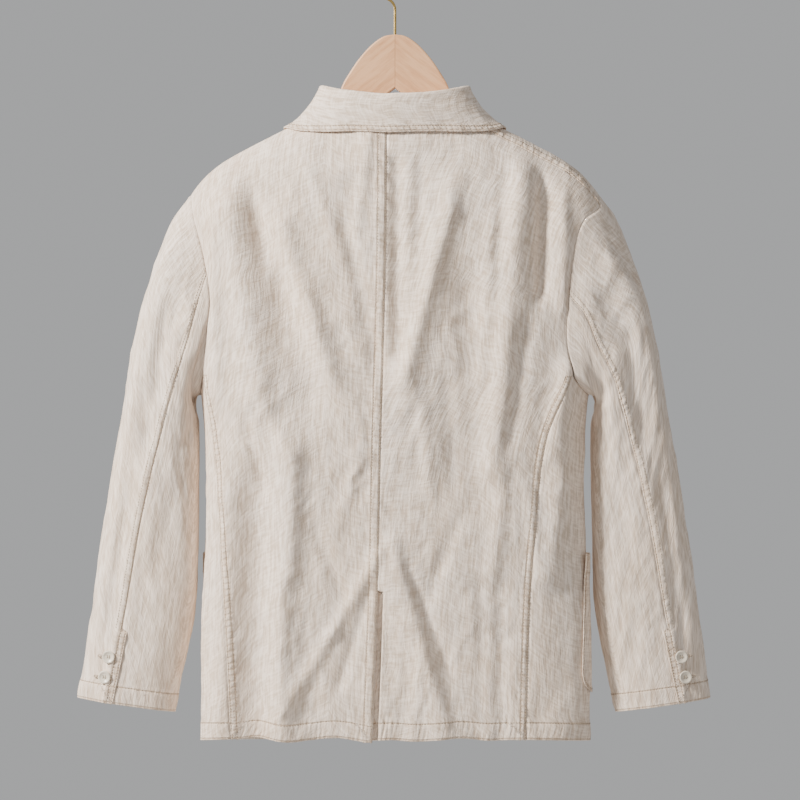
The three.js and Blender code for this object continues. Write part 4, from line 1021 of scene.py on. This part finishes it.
def build_sleeve(h, upper):
    """A sleeve's upper or lower piece, with its folds and cuff."""
    cell = settings().cell / MM * 1.08
    _, run, elbow_run, front_run = armhole(h)
    if upper:
        runs = np.linspace(front_run, run[-1] + elbow_run, int(240 / cell))
        rows = int(620 / cell)
    else:
        runs = np.linspace(elbow_run, front_run, int(150 / cell))
        rows = int(500 / cell)
    shares = np.linspace(0, 1, 900)
    middle = sleeve_surface(h, [runs[len(runs) // 2]], shares)[0][:, 0]
    ts = even_places(middle, shares, rows)
    points, turned, t = sleeve_surface(h, runs, ts)
    outward = points - ring_middle(t)
    first, last, top, bottom = seam_distances(points)
    fine = ease((t - 0.02) / 0.06)
    lift = sleeve_fold(turned, t) * ease((t - 0.03) / 0.12) * ease((1 - t) / 0.15)
    seed = (301 if h.left else 331) + (0 if upper else 17)
    calm = ease((np.minimum(first, last) - 1) / 12)
    lift += settings().crumple * crumple(first + 60, top, seed) * fine * calm
    # the sleeve's head is eased into the armhole, so it puckers there
    pucker = 0.6 + hashed_noise(first / 8, top / 20, seed + 3)
    lift += 0.7 * np.exp(-(top / 9) ** 2) * pucker * ease(top / 1.5)
    lift += topstitched(bottom, first, CUFF_WIDTH, seed + 9, 0.8)
    elbow = last if upper else -first
    lift += felled(elbow, -bottom, SIDE_STRIP, 305 if h.left else 335, 0.8) * fine
    mask = np.ones(points.shape[:2], bool)
    if upper:
        points, outward, lift, mask = cuff_lap(h, points, outward, lift, t, runs)
    moved, n = drape(points, outward, lift, mask)
    moved, n = h.mirrored(moved), h.mirrored(n)
    kind = "top" if upper else "under"
    first, last, _, bottom = seam_distances(moved)
    marks = mark_seams(moved.shape[:2], (bottom, first, CUFF_WIDTH, True),
                       (last, -moved[..., 2], SIDE_STRIP, upper))
    obj = shell(f"blazer_{kind}_sleeve_{h.word}", moved, n, marks, (1200, 40), mask)
    return own_sheet(obj, f"{kind}_sleeve_{h.word}")


def cuff_lap(h, points, outward, lift, t, runs):
    """The top sleeve runs on over the under sleeve along the cuff's vent."""
    count = 6
    step = (runs[-1] - runs[0]) / (len(runs) - 1)
    more = sleeve_surface(h, runs[-1] + step * np.linspace(0.4, 1, count) * 5, t[:, 0])[0]
    points = np.concatenate([points, more], 1)
    outward = np.concatenate([outward, more - ring_middle(t[:, :1])], 1)
    grown = np.repeat(lift[:, -1:], count, 1)
    lift = np.concatenate([lift, grown], 1)
    whole_t = np.repeat(t[:, :1], points.shape[1], 1)
    raised = ease((whole_t - CUFF_VENT_START) / 0.012)
    near = ease((np.arange(points.shape[1]) - (points.shape[1] - count - 9)) / 6)[None, :]
    lift = lift + LAP * raised * near
    mask = np.ones(points.shape[:2], bool)
    mask[:, -count:] = whole_t[:, -count:] > CUFF_VENT_START + 0.004
    return points, outward, lift, mask


# ---- collar and lapels ----
def resample(points, count):
    """A smooth line of count points through a few given ones."""
    run = run_along(points)
    knots = [(r, *p) for r, p in zip(run, points)]
    places = np.linspace(0, run[-1], count)
    return np.stack([through(knots, places, i + 1) for i in range(3)], -1)


def neck_path(count):
    """The neckline, own side positive: across the back, over the shoulder and down."""
    x = np.linspace(0, NECK_X, 60)
    z = mix(BACK_NECK_Z, float(shoulder_line(NECK_X)), (x / NECK_X) ** 2)
    back = on_face(x, z, 1)
    ks = np.linspace(0, 4 / 9, 90)[1:]
    front = front_base(LEFT, np.zeros_like(ks), ks)
    path = np.concatenate([back, front])
    run = run_along(path)
    places = np.linspace(0, run[-1], count)
    return np.stack([np.interp(places, run, path[:, i]) for i in range(3)], -1)


def face_normal(x, z, side, e):
    """The body's outward normal at one point, from steps of e to each side."""
    above = z + e if z + e < shoulder_line(x) else z
    n = np.cross(on_face(x + e, z, side) - on_face(x - e, z, side),
                 on_face(x, z - e, side) - on_face(x, above, side))
    n /= max(np.linalg.norm(n), 1e-9)
    return n if n[1] * side > 0 else -n


def collar_line(h, neck, u):
    """One section of the collar, from its foot over the fold to its edge; own side positive."""
    aside = math.atan2(abs(neck[0]) * 0.45, max(neck[1], 0))
    out = np.array([math.sin(aside), math.cos(aside), 0.0])
    if neck[1] <= 0:
        out = np.array([1.0, 0.0, 0.0])
    lie = float(ease((u - 0.56) / 0.44))
    up = np.array([0, 0, 1.0]) + out * 0.2 * float(ease(u / 0.5)) * (1 - lie)
    up = mix(up, np.array([0, -1.0, 0]), lie)
    up /= np.linalg.norm(up)
    stand = float(through(COLLAR_STAND, u))
    roll = mix(COLLAR_ROLL, 2.4, lie)
    foot = neck + up * 0.4 - out * WALL
    eye = foot + up * max(stand - roll, 0.6) + out * roll
    line = [foot, mix(foot, eye - out * roll, 0.55)]
    for a in (180, 135, 90, 45, 0):
        turn = math.radians(a)
        line.append(eye + out * roll * math.cos(turn) + up * roll * math.sin(turn))
    edge_x = float(through([(0, 9 * h.side, 0), *COLLAR_EDGE[1:]], u))
    step = float(through(COLLAR_EDGE, u, 2))
    edge_z = float(shoulder_line(float(through(COLLAR_EDGE, u)))) - step * step
    edge_side = 1 if step >= 0 else -1
    n = face_normal(edge_x, edge_z, edge_side, 0.4)
    lift = mix(2.9, 3.8, float(ease((u - 0.5) / 0.3)))
    end = on_face(edge_x, edge_z, edge_side) + n * lift
    fold = line[-1]
    for t in (0.3, 0.65, 1.0):
        q = mix(fold, end, t) + n * 5 * t * (1 - t)
        if u > 0.99 and t < 0.9:
            notch = np.array([93.0, q[1], -243.0])
            q = mix(fold, notch, t / 0.65)
        z = q[2]
        if z < float(shoulder_line(q[0])) - 0.5:
            side = 1 if q[1] >= 0 else -1
            base = on_face(q[0], z, side)
            g = face_normal(q[0], z, side, 0.3)
            height = float(np.dot(q - base, g))
            if height < lift:
                q = q + g * (lift - height)
        line.append(q)
    return np.array(line)


def build_collar():
    """The collar, rolled over from its stand."""
    half_count, across = 100, 46
    halves = []
    for h in HALVES:
        path = neck_path(half_count)
        lines = []
        for i, neck in enumerate(path):
            u = i / (half_count - 1)
            line = resample(collar_line(h, neck, u), across)
            lines.append(h.mirrored(line))
        halves.append(np.array(lines))
    whole = np.concatenate([halves[0][:0:-1], halves[1]])
    for _ in range(10):
        whole[1:-1] = 0.25 * whole[:-2] + 0.5 * whole[1:-1] + 0.25 * whole[2:]
    outward = np.zeros_like(whole)
    centre = np.array([0, 0, -190.0])
    outward[:] = whole - centre
    n = normals_of(whole, outward)
    edge_side = np.sum((n * outward)[:, -12:])
    n = n if edge_side > 0 else -n
    first, last, top, bottom = seam_distances(whole)
    along = top
    lift = topstitched(last, along, COLLAR_STRIP, 401, 1.0)
    lift += 0.35 * settings().crumple * crumple(along, first, 411) * ease(last / 3)
    lift += 0.5 * hashed_noise(along / 38, first / 22, 421) * ease(first / 30)
    moved = whole + n * lift[..., None]
    n2 = normals_of(moved, n)
    marks = mark_seams(last.shape, (last, along, COLLAR_STRIP, True))
    obj = shell("blazer_collar", moved, n2, marks, (1900, 20))
    return own_sheet(obj, "collar")


def build_lapel(h):
    """A lapel, turned back over its front."""
    end_z = -461 if h.left else -436
    rows, columns = 96, 34
    grid = []
    for v in np.linspace(0, 1, rows):
        z0 = mix(-224.5, end_z, v)
        x0 = float(h.front_middle(z0)) if h.left else max(float(h.front_middle(z0)),
                                                          8 - float(LEFT.front_middle(z0)))
        neck = on_face(x0, z0, -1)
        n = np.array([0.0, -1.0, 0.0])
        out = np.array([1.0, 0, 0])
        line = [neck - out * (WALL + 0.6) - n * WALL, neck - out * (WALL + 1.7) + n * 0.5,
                neck - out + n * 2.7]
        ex = max(float(through(LAPEL_EDGE, v, 1)), x0 + 7)
        ez = min(mix(z0, float(through(LAPEL_EDGE, v, 2)), 1 - float(ease((v - 0.6) / 0.4))), z0)
        for t in (0.12, 0.35, 0.6, 0.82, 1):
            x, z = mix(x0, ex, t), mix(z0, ez, t)
            base = on_face(x, z, -1)
            g = face_normal(x, z, -1, 0.4)
            line.append(base + g * (2.6 + float(fold_height(FRONT_FOLDS, h.side * x, z))
                                    * float(ease((shoulder_line(x) - z - 6) / 60))))
        grid.append(resample(np.array(line), columns))
    points = np.array(grid)
    outward = np.zeros_like(points)
    outward[..., 1] = -1
    first, last, top, bottom = seam_distances(points)
    lift = topstitched(last, top, EDGE_STRIP, 431 + h.side, 0.7)
    patches = hashed_noise(top / 30, first / 20, 441 + h.side)
    lift += 0.5 * patches * ease(first / 12) * ease(bottom / 30)
    n = normals_of(points, outward)
    moved = points + n * np.maximum(lift, -0.2)[..., None]
    n = normals_of(moved, outward)
    marks = mark_seams(last.shape, (last, top, EDGE_STRIP, True))
    obj = shell(f"blazer_lapel_{h.word}", h.mirrored(moved), h.mirrored(n), marks, (2300, 20))
    return own_sheet(obj, f"lapel_{h.word}")


# ---- pockets ----
def build_pocket(h):
    """A patch pocket on its front."""
    rows, columns = 66, 70
    e = np.linspace(0, POCKET_WIDTH, columns)
    inset = np.minimum(e, POCKET_WIDTH - e)
    cut = np.where(inset >= POCKET_CORNER, 0,
                   POCKET_CORNER - np.sqrt(np.maximum(0, POCKET_CORNER ** 2 - (POCKET_CORNER - inset) ** 2)))
    turns = np.linspace(0, 200, 1201)
    k = np.linspace(0, 1, rows)
    z = POCKET_TOP_Z - (POCKET_HEIGHT - cut)[None, :] * k[:, None]
    turn = np.zeros_like(z)
    levels = np.linspace(POCKET_TOP_Z - POCKET_HEIGHT, POCKET_TOP_Z, 34)
    table = []
    for level in levels:
        begin = float(turn_of(float(h.centre_back(level)) , level, 1))
        begin = begin if h.centre_back(level) > 0 else -begin
        tt = begin + turns
        line = on_ring(tt, np.full_like(tt, level))
        run = np.concatenate([[0], np.cumsum(np.hypot(np.diff(line[:, 0]), np.diff(line[:, 1])))])
        table.append(np.interp(POCKET_FROM_BACK + e, run, tt))
    table = np.array(table)
    for c in range(columns):
        turn[:, c] = np.interp(z[:, c], levels, table[:, c])
    base = on_ring(turn, z)
    outward = outward_of(base)
    mirrored = h.mirrored(base)
    folds = body_folds(mirrored)
    share = np.linspace(0, 1, rows)[:, None]
    gape = 1.6 * (1 - ease(share / 0.3)) + 0.8 * np.sin(np.pi * e / POCKET_WIDTH)[None, :]
    first, last, top, bottom = seam_distances(base)
    edge = np.minimum(np.minimum(first, last), bottom)
    lift = folds + LAP + 0.5 + gape
    beside = np.where(bottom < np.minimum(first, last), first, top)
    lift += topstitched(edge, beside, POCKET_STRIP, 461 + h.side, 0.6)
    lift += 0.8 * (1 - ease((top - 24) / 2)) - 0.4 * np.exp(-((top - 22.5) / 1.1) ** 2)
    lift += 0.45 * settings().crumple * crumple(first + 30, top, 471 + h.side) * ease(edge / 8)
    n = normals_of(base, outward)
    moved = base + n * lift[..., None]
    n = normals_of(moved, outward)
    marks = mark_seams(edge.shape, (edge, beside, POCKET_STRIP, True))
    obj = shell(f"blazer_pocket_{h.word}", h.mirrored(moved), h.mirrored(n), marks, (2700, 20))
    return own_sheet(obj, f"pocket_{h.word}")


# ---- stitches ----
def stitch_tree():
    """Stitches of a given length and thickness, evenly along every line."""
    tree = bpy.data.node_groups.get("stitches")
    if tree:
        return tree
    tree = bpy.data.node_groups.new("stitches", "GeometryNodeTree")
    face = tree.interface
    face.new_socket("Geometry", in_out="INPUT", socket_type="NodeSocketGeometry")
    for label in ("Spacing", "Length", "Thickness"):
        face.new_socket(label, in_out="INPUT", socket_type="NodeSocketFloat")
    face.new_socket("Thread", in_out="INPUT", socket_type="NodeSocketMaterial")
    face.new_socket("Geometry", in_out="OUTPUT", socket_type="NodeSocketGeometry")
    link = tree.links.new
    given = node(tree, "NodeGroupInput", (-900, 0))
    points = node(tree, "GeometryNodeCurveToPoints", (-600, 100))
    points.mode = "LENGTH"
    link(given.outputs["Geometry"], points.inputs["Curve"])
    link(given.outputs["Spacing"], points.inputs["Length"])
    turn = node(tree, "FunctionNodeAlignRotationToVector", (-400, -100))
    turn.axis = "X"
    link(points.outputs["Tangent"], turn.inputs["Vector"])
    ball = node(tree, "GeometryNodeMeshUVSphere", (-600, -300))
    ball.inputs["Segments"].default_value = 6
    ball.inputs["Rings"].default_value = 4
    ball.inputs["Radius"].default_value = 0.5
    size = node(tree, "ShaderNodeCombineXYZ", (-600, -500))
    link(given.outputs["Length"], size.inputs[0])
    link(given.outputs["Thickness"], size.inputs[1])
    link(given.outputs["Thickness"], size.inputs[2])
    place = node(tree, "GeometryNodeInstanceOnPoints", (-200, 0))
    link(points.outputs["Points"], place.inputs["Points"])
    link(ball.outputs["Mesh"], place.inputs["Instance"])
    link(turn.outputs[0], place.inputs["Rotation"])
    link(size.outputs[0], place.inputs["Scale"])
    real = node(tree, "GeometryNodeRealizeInstances", (0, 0))
    link(place.outputs[0], real.inputs[0])
    coloured = node(tree, "GeometryNodeSetMaterial", (200, 0))
    link(real.outputs[0], coloured.inputs["Geometry"])
    link(given.outputs["Thread"], coloured.inputs["Material"])
    out = node(tree, "NodeGroupOutput", (400, 0))
    link(coloured.outputs[0], out.inputs[0])
    return tree


def stitch_lines(name, lines, spacing=None, length=None, thickness=None):
    """Turn lines of points (in mm) into rows of stitches, joined in one mesh."""
    got = settings()
    data = bpy.data.curves.new(name, "CURVE")
    data.dimensions = "3D"
    for line in lines:
        if len(line) < 2:
            continue
        spline = data.splines.new("POLY")
        spline.points.add(len(line) - 1)
        flat = np.concatenate([np.asarray(line) * MM, np.ones((len(line), 1))], 1)
        spline.points.foreach_set("co", flat.astype(np.float32).ravel())
    carrier = bpy.data.objects.new(name + "_lines", data)
    bpy.context.scene.collection.objects.link(carrier)
    tree = stitch_tree()
    modifier = carrier.modifiers.new("stitches", "NODES")
    modifier.node_group = tree
    wanted = {"Spacing": spacing or got.stitch_spacing, "Length": length or got.stitch_length,
              "Thickness": thickness or got.stitch_thickness, "Thread": thread()}
    for item in tree.interface.items_tree:
        if item.in_out == "INPUT" and item.name in wanted:
            modifier[item.identifier] = wanted[item.name]
    bpy.context.view_layer.update()
    graph = bpy.context.evaluated_depsgraph_get()
    mesh = bpy.data.meshes.new_from_object(carrier.evaluated_get(graph), depsgraph=graph)
    carrier.modifiers.clear()
    bpy.data.objects.remove(carrier)
    bpy.data.curves.remove(data)
    mesh.name = name
    if not mesh.materials:
        mesh.materials.append(thread())
    mesh.polygons.foreach_set("use_smooth", np.ones(len(mesh.polygons), dtype=bool))
    obj = bpy.data.objects.new(name, mesh)
    bpy.context.scene.collection.objects.link(obj)
    if len(mesh.polygons) == 0:
        raise RuntimeError(f"{name} has no stitches")
    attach(obj, "root")
    return obj


def grid_of(name):
    """The mesh grid of a cloth piece that has been built."""
    if name not in CLOTH:
        raise RuntimeError(f"{name} has to be built first")
    return CLOTH[name]


# the shoulder's lines cross this many columns of a front, from its front edge
SHOULDER_COLUMNS = 62


def walk_in(points, normals, distance):
    """The point a distance in from the start of a line of cloth, just above it, or none."""
    run = run_along(points)
    if run[-1] < distance:
        return []
    at = [np.interp(distance, run, points[:, i]) for i in range(3)]
    up = [np.interp(distance, run, normals[:, i]) for i in range(3)]
    return [np.array(at) + 0.12 * np.array(up)]


def side_line(name, distance, last=False, rows=None):
    """A line down a cloth grid, a distance in from its first or last column."""
    grid = grid_of(name)
    line = []
    for points, normals, mask in zip(grid["p"], grid["n"], grid["mask"]):
        picked = np.flatnonzero(mask)[::-1 if last else 1]
        if len(picked) >= 3 and (rows is None or rows(points)):
            line += walk_in(points[picked], normals[picked], distance)
    return np.array(line)


def end_line(name, distance, bottom=True, columns=None):
    """A line across a cloth grid, a distance in from its first or last row."""
    grid = grid_of(name)
    line = []
    for c in range(grid["p"].shape[1])[:columns]:
        points, normals = grid["p"][:, c], grid["n"][:, c]
        picked = np.flatnonzero(grid["mask"][:, c])[::-1 if bottom else 1]
        if len(picked) >= 3:
            line += walk_in(points[picked], normals[picked], distance)
    return np.array(line)


def stitch_backs():
    """Lines down the middle seam, the side seams and along the hem."""
    lines = [side_line("blazer_back_left", d) for d in (1.6, 10.6)]
    for word in ("left", "right"):
        name = f"blazer_back_{word}"
        lines += [side_line(name, d, last=True, rows=lambda row: row[-1][2] < UNDERARM_Z)
                  for d in (1.6, 7.6)]
        lines.append(end_line(name, 19.6))
    stitch_lines("stitches_back", lines)


def stitch_fronts():
    """Lines along the fronts' hems and edges and one shoulder."""
    lines = []
    for word in ("left", "right"):
        name = f"blazer_front_{word}"
        lines.append(end_line(name, 19.6))
        lines.append(side_line(name, 5.6, rows=lambda row: row[0][2] < BREAK_Z))
    name = "blazer_front_right"
    lines += [end_line(name, d, bottom=False, columns=SHOULDER_COLUMNS) for d in (1.6, 8.6)]
    stitch_lines("stitches_fronts", lines)


def stitch_sleeves():
    """Lines down the sleeves' seams and round their cuffs."""
    lines = []
    for word in ("left", "right"):
        top = f"blazer_top_sleeve_{word}"
        for d in (1.6, 7.6):
            lines.append(side_line(top, d, last=True, rows=lambda row: row[0][2] < -300))
        lines.append(end_line(top, 20.6))
        lines.append(end_line(f"blazer_under_sleeve_{word}", 20.6))
    stitch_lines("stitches_sleeves", lines)


def stitch_collar():
    lines = [side_line("blazer_collar", 6.6, last=True)]
    for word in ("left", "right"):
        lines.append(side_line(f"blazer_lapel_{word}", 5.6, last=True))
    stitch_lines("stitches_collar", lines)


def stitch_pockets():
    lines = []
    for word in ("left", "right"):
        name = f"blazer_pocket_{word}"
        lines += [side_line(name, 3.6), side_line(name, 3.6, last=True), end_line(name, 3.6),
                  end_line(name, 22.5, bottom=False)]
    stitch_lines("stitches_pockets", lines)


# ---- buttons ----
def build_button(cad_name, radius):
    """A sew-through button with a rim."""
    source = bpy.data.objects.get(cad_name)
    verts = np.array([v.co for v in source.data.vertices]) / MM
    centre = verts.mean(0)
    _, _, axes = np.linalg.svd(verts - centre)
    axis = axes[2]
    hint = np.array([centre[0] * 0.2, centre[1], 0])
    axis = axis if np.dot(axis, hint) > 0 else -axis
    height = (verts - centre) @ axis
    seat = centre + axis * height.min()
    aside = np.cross(axis, [0, 0, 1.0])
    aside /= np.linalg.norm(aside)
    up = np.cross(aside, axis)
    profile = np.array([(0.0, 2.35), (radius * 0.16, 2.35), (radius * 0.3, 2.35), (radius * 0.42, 2.4),
                        (radius * 0.52, 2.6), (radius * 0.62, 2.95), (radius * 0.72, 3.35),
                        (radius * 0.8, 3.6), (radius * 0.88, 3.68), (radius * 0.95, 3.5),
                        (radius * 0.99, 3.05), (radius, 2.6), (radius * 0.985, 2.1), (radius * 0.93, 1.6),
                        (radius * 0.8, 1.3), (radius * 0.5, 1.1), (radius * 0.3, 1.1), (0.0, 1.1)])
    fine = [profile[0]]
    for a, b in zip(profile[:-1], profile[1:]):
        steps = max(1, int(np.linalg.norm(b - a) / 0.45))
        fine += [mix(a, b, (i + 1) / steps) for i in range(steps)]
    fine = np.array(fine)
    around = 48
    angle = np.linspace(0, 2 * np.pi, around, endpoint=False)
    holes = [(0.17 * radius * sx, 0.17 * radius * sy) for sx in (-1, 1) for sy in (-1, 1)]
    verts_out, faces = [], []
    for i, (r, t) in enumerate(fine[1:-1]):
        u, v = r * np.cos(angle), r * np.sin(angle)
        depth = np.zeros(around)
        if i < len(fine) // 2 and t > 2:
            for hx, hy in holes:
                depth = np.maximum(depth, 1 - ease((np.hypot(u - hx, v - hy) - 0.45) / 0.35))
        w = t - 1.1 * depth
        verts_out.append(seat + u[:, None] * aside + v[:, None] * up + w[:, None] * axis)
    rings = len(verts_out)
    flat = np.concatenate(verts_out + [[seat + axis * fine[0][1]], [seat + axis * fine[-1][1]]])
    first, last = rings * around, rings * around + 1
    for k in range(around):
        faces.append((first, k, (k + 1) % around))
        base = (rings - 1) * around
        faces.append((last, base + (k + 1) % around, base + k))
        for i in range(rings - 1):
            a, b = i * around + k, i * around + (k + 1) % around
            faces.append((a, a + around, b + around, b))
    obj = new_object(f"blazer_{cad_name}", flat, faces, None, button_finish())
    tidy = bmesh.new()
    tidy.from_mesh(obj.data)
    bmesh.ops.recalc_face_normals(tidy, faces=tidy.faces)
    tidy.to_mesh(obj.data)
    tidy.free()
    obj.data.polygons.foreach_set("use_smooth", np.ones(len(obj.data.polygons), dtype=bool))
    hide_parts(cad_name)
    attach(obj, "root")
    # two threads over the holes and the shank of thread beneath
    lines = []
    for side in (-1, 1):
        for spread in (-0.25, 0.0, 0.25):
            line = []
            for step in np.linspace(-1, 1, 9):
                u = side * 0.17 * radius + spread
                v = 0.17 * radius * step
                w = 2.35 - 0.6 + 0.95 * math.sqrt(max(0, 1 - step ** 2) * 0.8 + 0.2)
                line.append(seat + aside * u + up * v + axis * w)
            lines.append(np.array(line))
    for turn in np.linspace(0, 2 * np.pi, 6, endpoint=False):
        foot = seat + aside * math.cos(turn) + up * math.sin(turn)
        lines.append(np.array([foot + axis * w for w in np.linspace(-0.2, 1.2, 4)]))
    return lines, seat, axis


def buttonhole(seat, axis, toward, length, out):
    """The worked edge of a buttonhole: a long loop of close stitches."""
    toward = toward - axis * np.dot(toward, axis)
    toward /= np.linalg.norm(toward)
    across = np.cross(axis, toward)
    line = []
    for a in np.linspace(0, 2 * np.pi, 61):
        line.append(seat + toward * (out + length / 2 * math.cos(a))
                    + across * 1.1 * np.tanh(3 * math.sin(a)) + axis * 0.1)
    return np.array(line)


# ---- stage ----
def add_light(name, place, energy, size, colour):
    """One area light, turned to the middle of the blazer."""
    data = bpy.data.lights.new(name, "AREA")
    data.energy = energy
    data.color = colour
    data.size = size
    obj = bpy.data.objects.new(name, data)
    obj.location = place
    obj.rotation_euler = (Vector(LIGHT_TARGET) - Vector(place)).to_track_quat("-Z", "Y").to_euler()
    bpy.context.scene.collection.objects.link(obj)
    return obj


def build_stage():
    """Lights, floor and camera."""
    mesh = bpy.data.meshes.new("studio_floor")
    shape = bmesh.new()
    bmesh.ops.create_circle(shape, cap_ends=True, segments=96, radius=FLOOR_RADIUS)
    bmesh.ops.translate(shape, verts=shape.verts, vec=(0, 0, FLOOR_Z))
    shape.to_mesh(mesh)
    shape.free()
    floor = bpy.data.objects.new("studio_floor", mesh)
    bpy.context.scene.collection.objects.link(floor)
    mesh.materials.append(plain_noise_finish("pale floor", (0.5, 0.5, 0.5), (0.53, 0.53, 0.525),
                                             3, 0.85, 0.02))
    for light in LIGHTS:
        add_light(*light)
    world = bpy.data.worlds.new("studio")
    world.use_nodes = True
    back = world.node_tree.nodes["Background"]
    back.inputs["Color"].default_value = SURROUNDINGS
    back.inputs["Strength"].default_value = 1.0
    bpy.context.scene.world = world
    data = bpy.data.cameras.new("camera")
    data.sensor_width = SENSOR
    data.lens = SENSOR * CAMERA_DISTANCE / VIEW_WIDTH
    data.clip_end = 30
    camera = bpy.data.objects.new("camera", data)
    camera.location = (CAMERA_X, CAMERA_DISTANCE + BACK_Y, CAMERA_Z)
    camera.rotation_euler = (math.pi / 2, 0, math.pi)
    bpy.context.scene.collection.objects.link(camera)
    bpy.context.scene.camera = camera


# ---- the add-on ----
class BlazerSettings(bpy.types.PropertyGroup):
    """Sizes and colours of the blazer."""

    cell: bpy.props.FloatProperty(name="Mesh cell", description="Size of one cell of the cloth mesh",
                                  default=0.0024, unit="LENGTH")
    crumple: bpy.props.FloatProperty(name="Crumple", description="How crumpled the washed linen is",
                                     default=1.0, min=0, subtype="FACTOR")
    stitch_spacing: bpy.props.FloatProperty(name="Stitch spacing", description="From stitch to stitch",
                                            default=0.0033, unit="LENGTH")
    stitch_length: bpy.props.FloatProperty(name="Stitch length", description="Length of one stitch",
                                           default=0.0026, unit="LENGTH")
    stitch_thickness: bpy.props.FloatProperty(name="Thread", description="Thickness of the thread",
                                              default=0.0009, unit="LENGTH")
    linen_colour: bpy.props.FloatVectorProperty(name="Linen", description="Lightest colour of the linen",
                                                subtype="COLOR", default=(0.9, 0.775, 0.665))
    linen_dark: bpy.props.FloatVectorProperty(name="Linen threads", description="Darkest threads",
                                              subtype="COLOR", default=(0.6, 0.475, 0.37))
    thread_colour: bpy.props.FloatVectorProperty(name="Thread colour", description="Sewing thread",
                                                 subtype="COLOR", default=(0.42, 0.33, 0.24))
    button_colour: bpy.props.FloatVectorProperty(name="Button colour", description="Cream of the buttons",
                                                 subtype="COLOR", default=(0.76, 0.67, 0.54))
    wood_colour: bpy.props.FloatVectorProperty(name="Wood colour", description="Pale wood of the hanger",
                                               subtype="COLOR", default=(0.74, 0.42, 0.22))


class BLAZER_OT_backs(bpy.types.Operator):
    """Build both halves of the back, with the felled seams and the vent"""

    bl_idname = "blazer.backs"
    bl_label = "Backs"

    def execute(self, context):
        for h in HALVES:
            build_back(h)
        stitch_backs()
        return {"FINISHED"}


class BLAZER_OT_fronts(bpy.types.Operator):
    """Build both fronts, which run round the sides to the side-back seams"""

    bl_idname = "blazer.fronts"
    bl_label = "Fronts"

    def execute(self, context):
        for h in HALVES:
            build_front(h)
        stitch_fronts()
        return {"FINISHED"}


class BLAZER_OT_sleeves(bpy.types.Operator):
    """Build the top and under sleeves with their cuff vents"""

    bl_idname = "blazer.sleeves"
    bl_label = "Sleeves"

    def execute(self, context):
        for h in HALVES:
            build_sleeve(h, True)
            build_sleeve(h, False)
        stitch_sleeves()
        return {"FINISHED"}


class BLAZER_OT_collar(bpy.types.Operator):
    """Build the collar and the lapels"""

    bl_idname = "blazer.collar"
    bl_label = "Collar and lapels"

    def execute(self, context):
        build_collar()
        for h in HALVES:
            build_lapel(h)
        stitch_collar()
        return {"FINISHED"}


class BLAZER_OT_pockets(bpy.types.Operator):
    """Build the patch pockets"""

    bl_idname = "blazer.pockets"
    bl_label = "Pockets"

    def execute(self, context):
        for h in HALVES:
            build_pocket(h)
        stitch_pockets()
        return {"FINISHED"}


class BLAZER_OT_buttons(bpy.types.Operator):
    """Build the front and cuff buttons, their threads and the buttonholes"""

    bl_idname = "blazer.buttons"
    bl_label = "Buttons"

    def execute(self, context):
        threads, holes = [], []
        for number in (1, 2, 3):
            lines, seat, axis = build_button(f"front_button_{number}", FRONT_BUTTON_R)
            threads += lines
            holes.append(buttonhole(seat - axis * 0.3, axis, np.array([-1.0, 0, 0]), 21, 3))
        for word, side in (("left", 1), ("right", -1)):
            for number in (1, 2):
                lines, seat, axis = build_button(f"cuff_button_{word}_{number}", CUFF_BUTTON_R)
                threads += lines
                holes.append(buttonhole(seat - axis * 0.2, axis, np.array([side, 0.0, 0.1]), 17, 5))
        stitch_lines("button_threads", threads, spacing=0.0007, length=0.0011, thickness=0.0005)
        stitch_lines("buttonholes", holes, spacing=0.0008, length=0.0007, thickness=0.0012)
        return {"FINISHED"}


class BLAZER_OT_hanger(bpy.types.Operator):
    """Finish the wooden hanger and its hook"""

    bl_idname = "blazer.hanger"
    bl_label = "Hanger"

    def execute(self, context):
        for name, finish in (("hanger_wood", wood()), ("hanger_hook", brass())):
            for slot in bpy.data.objects[name].material_slots:
                slot.material = finish
        return {"FINISHED"}


class BLAZER_OT_stage(bpy.types.Operator):
    """Set the floor, the lights, the surroundings and the camera"""

    bl_idname = "blazer.stage"
    bl_label = "Stage"

    def execute(self, context):
        build_stage()
        return {"FINISHED"}


class BLAZER_PT_panel(bpy.types.Panel):
    """Sizes, colours and building steps of the blazer"""

    bl_idname = "BLAZER_PT_panel"
    bl_label = "Linen Blazer"
    bl_space_type = "VIEW_3D"
    bl_region_type = "UI"
    bl_category = "Blazer"

    def draw(self, context):
        for prop in BlazerSettings.__annotations__:
            self.layout.prop(context.scene.blazer, prop)
        for step in STEPS:
            self.layout.operator(step.bl_idname)


STEPS = (BLAZER_OT_backs, BLAZER_OT_fronts, BLAZER_OT_sleeves, BLAZER_OT_collar, BLAZER_OT_pockets,
         BLAZER_OT_buttons, BLAZER_OT_hanger, BLAZER_OT_stage)


def register():
    for kind in (BlazerSettings, *STEPS, BLAZER_PT_panel):
        bpy.utils.register_class(kind)
    bpy.types.Scene.blazer = bpy.props.PointerProperty(type=BlazerSettings)


def unregister():
    del bpy.types.Scene.blazer
    for kind in (BLAZER_PT_panel, *reversed(STEPS), BlazerSettings):
        bpy.utils.unregister_class(kind)


def main():
    register()
    bpy.ops.blazer.backs()
    bpy.ops.blazer.fronts()
    bpy.ops.blazer.sleeves()
    bpy.ops.blazer.collar()
    bpy.ops.blazer.pockets()
    bpy.ops.blazer.buttons()
    bpy.ops.blazer.hanger()
    bpy.ops.blazer.stage()


if __name__ == "__main__":
    main()
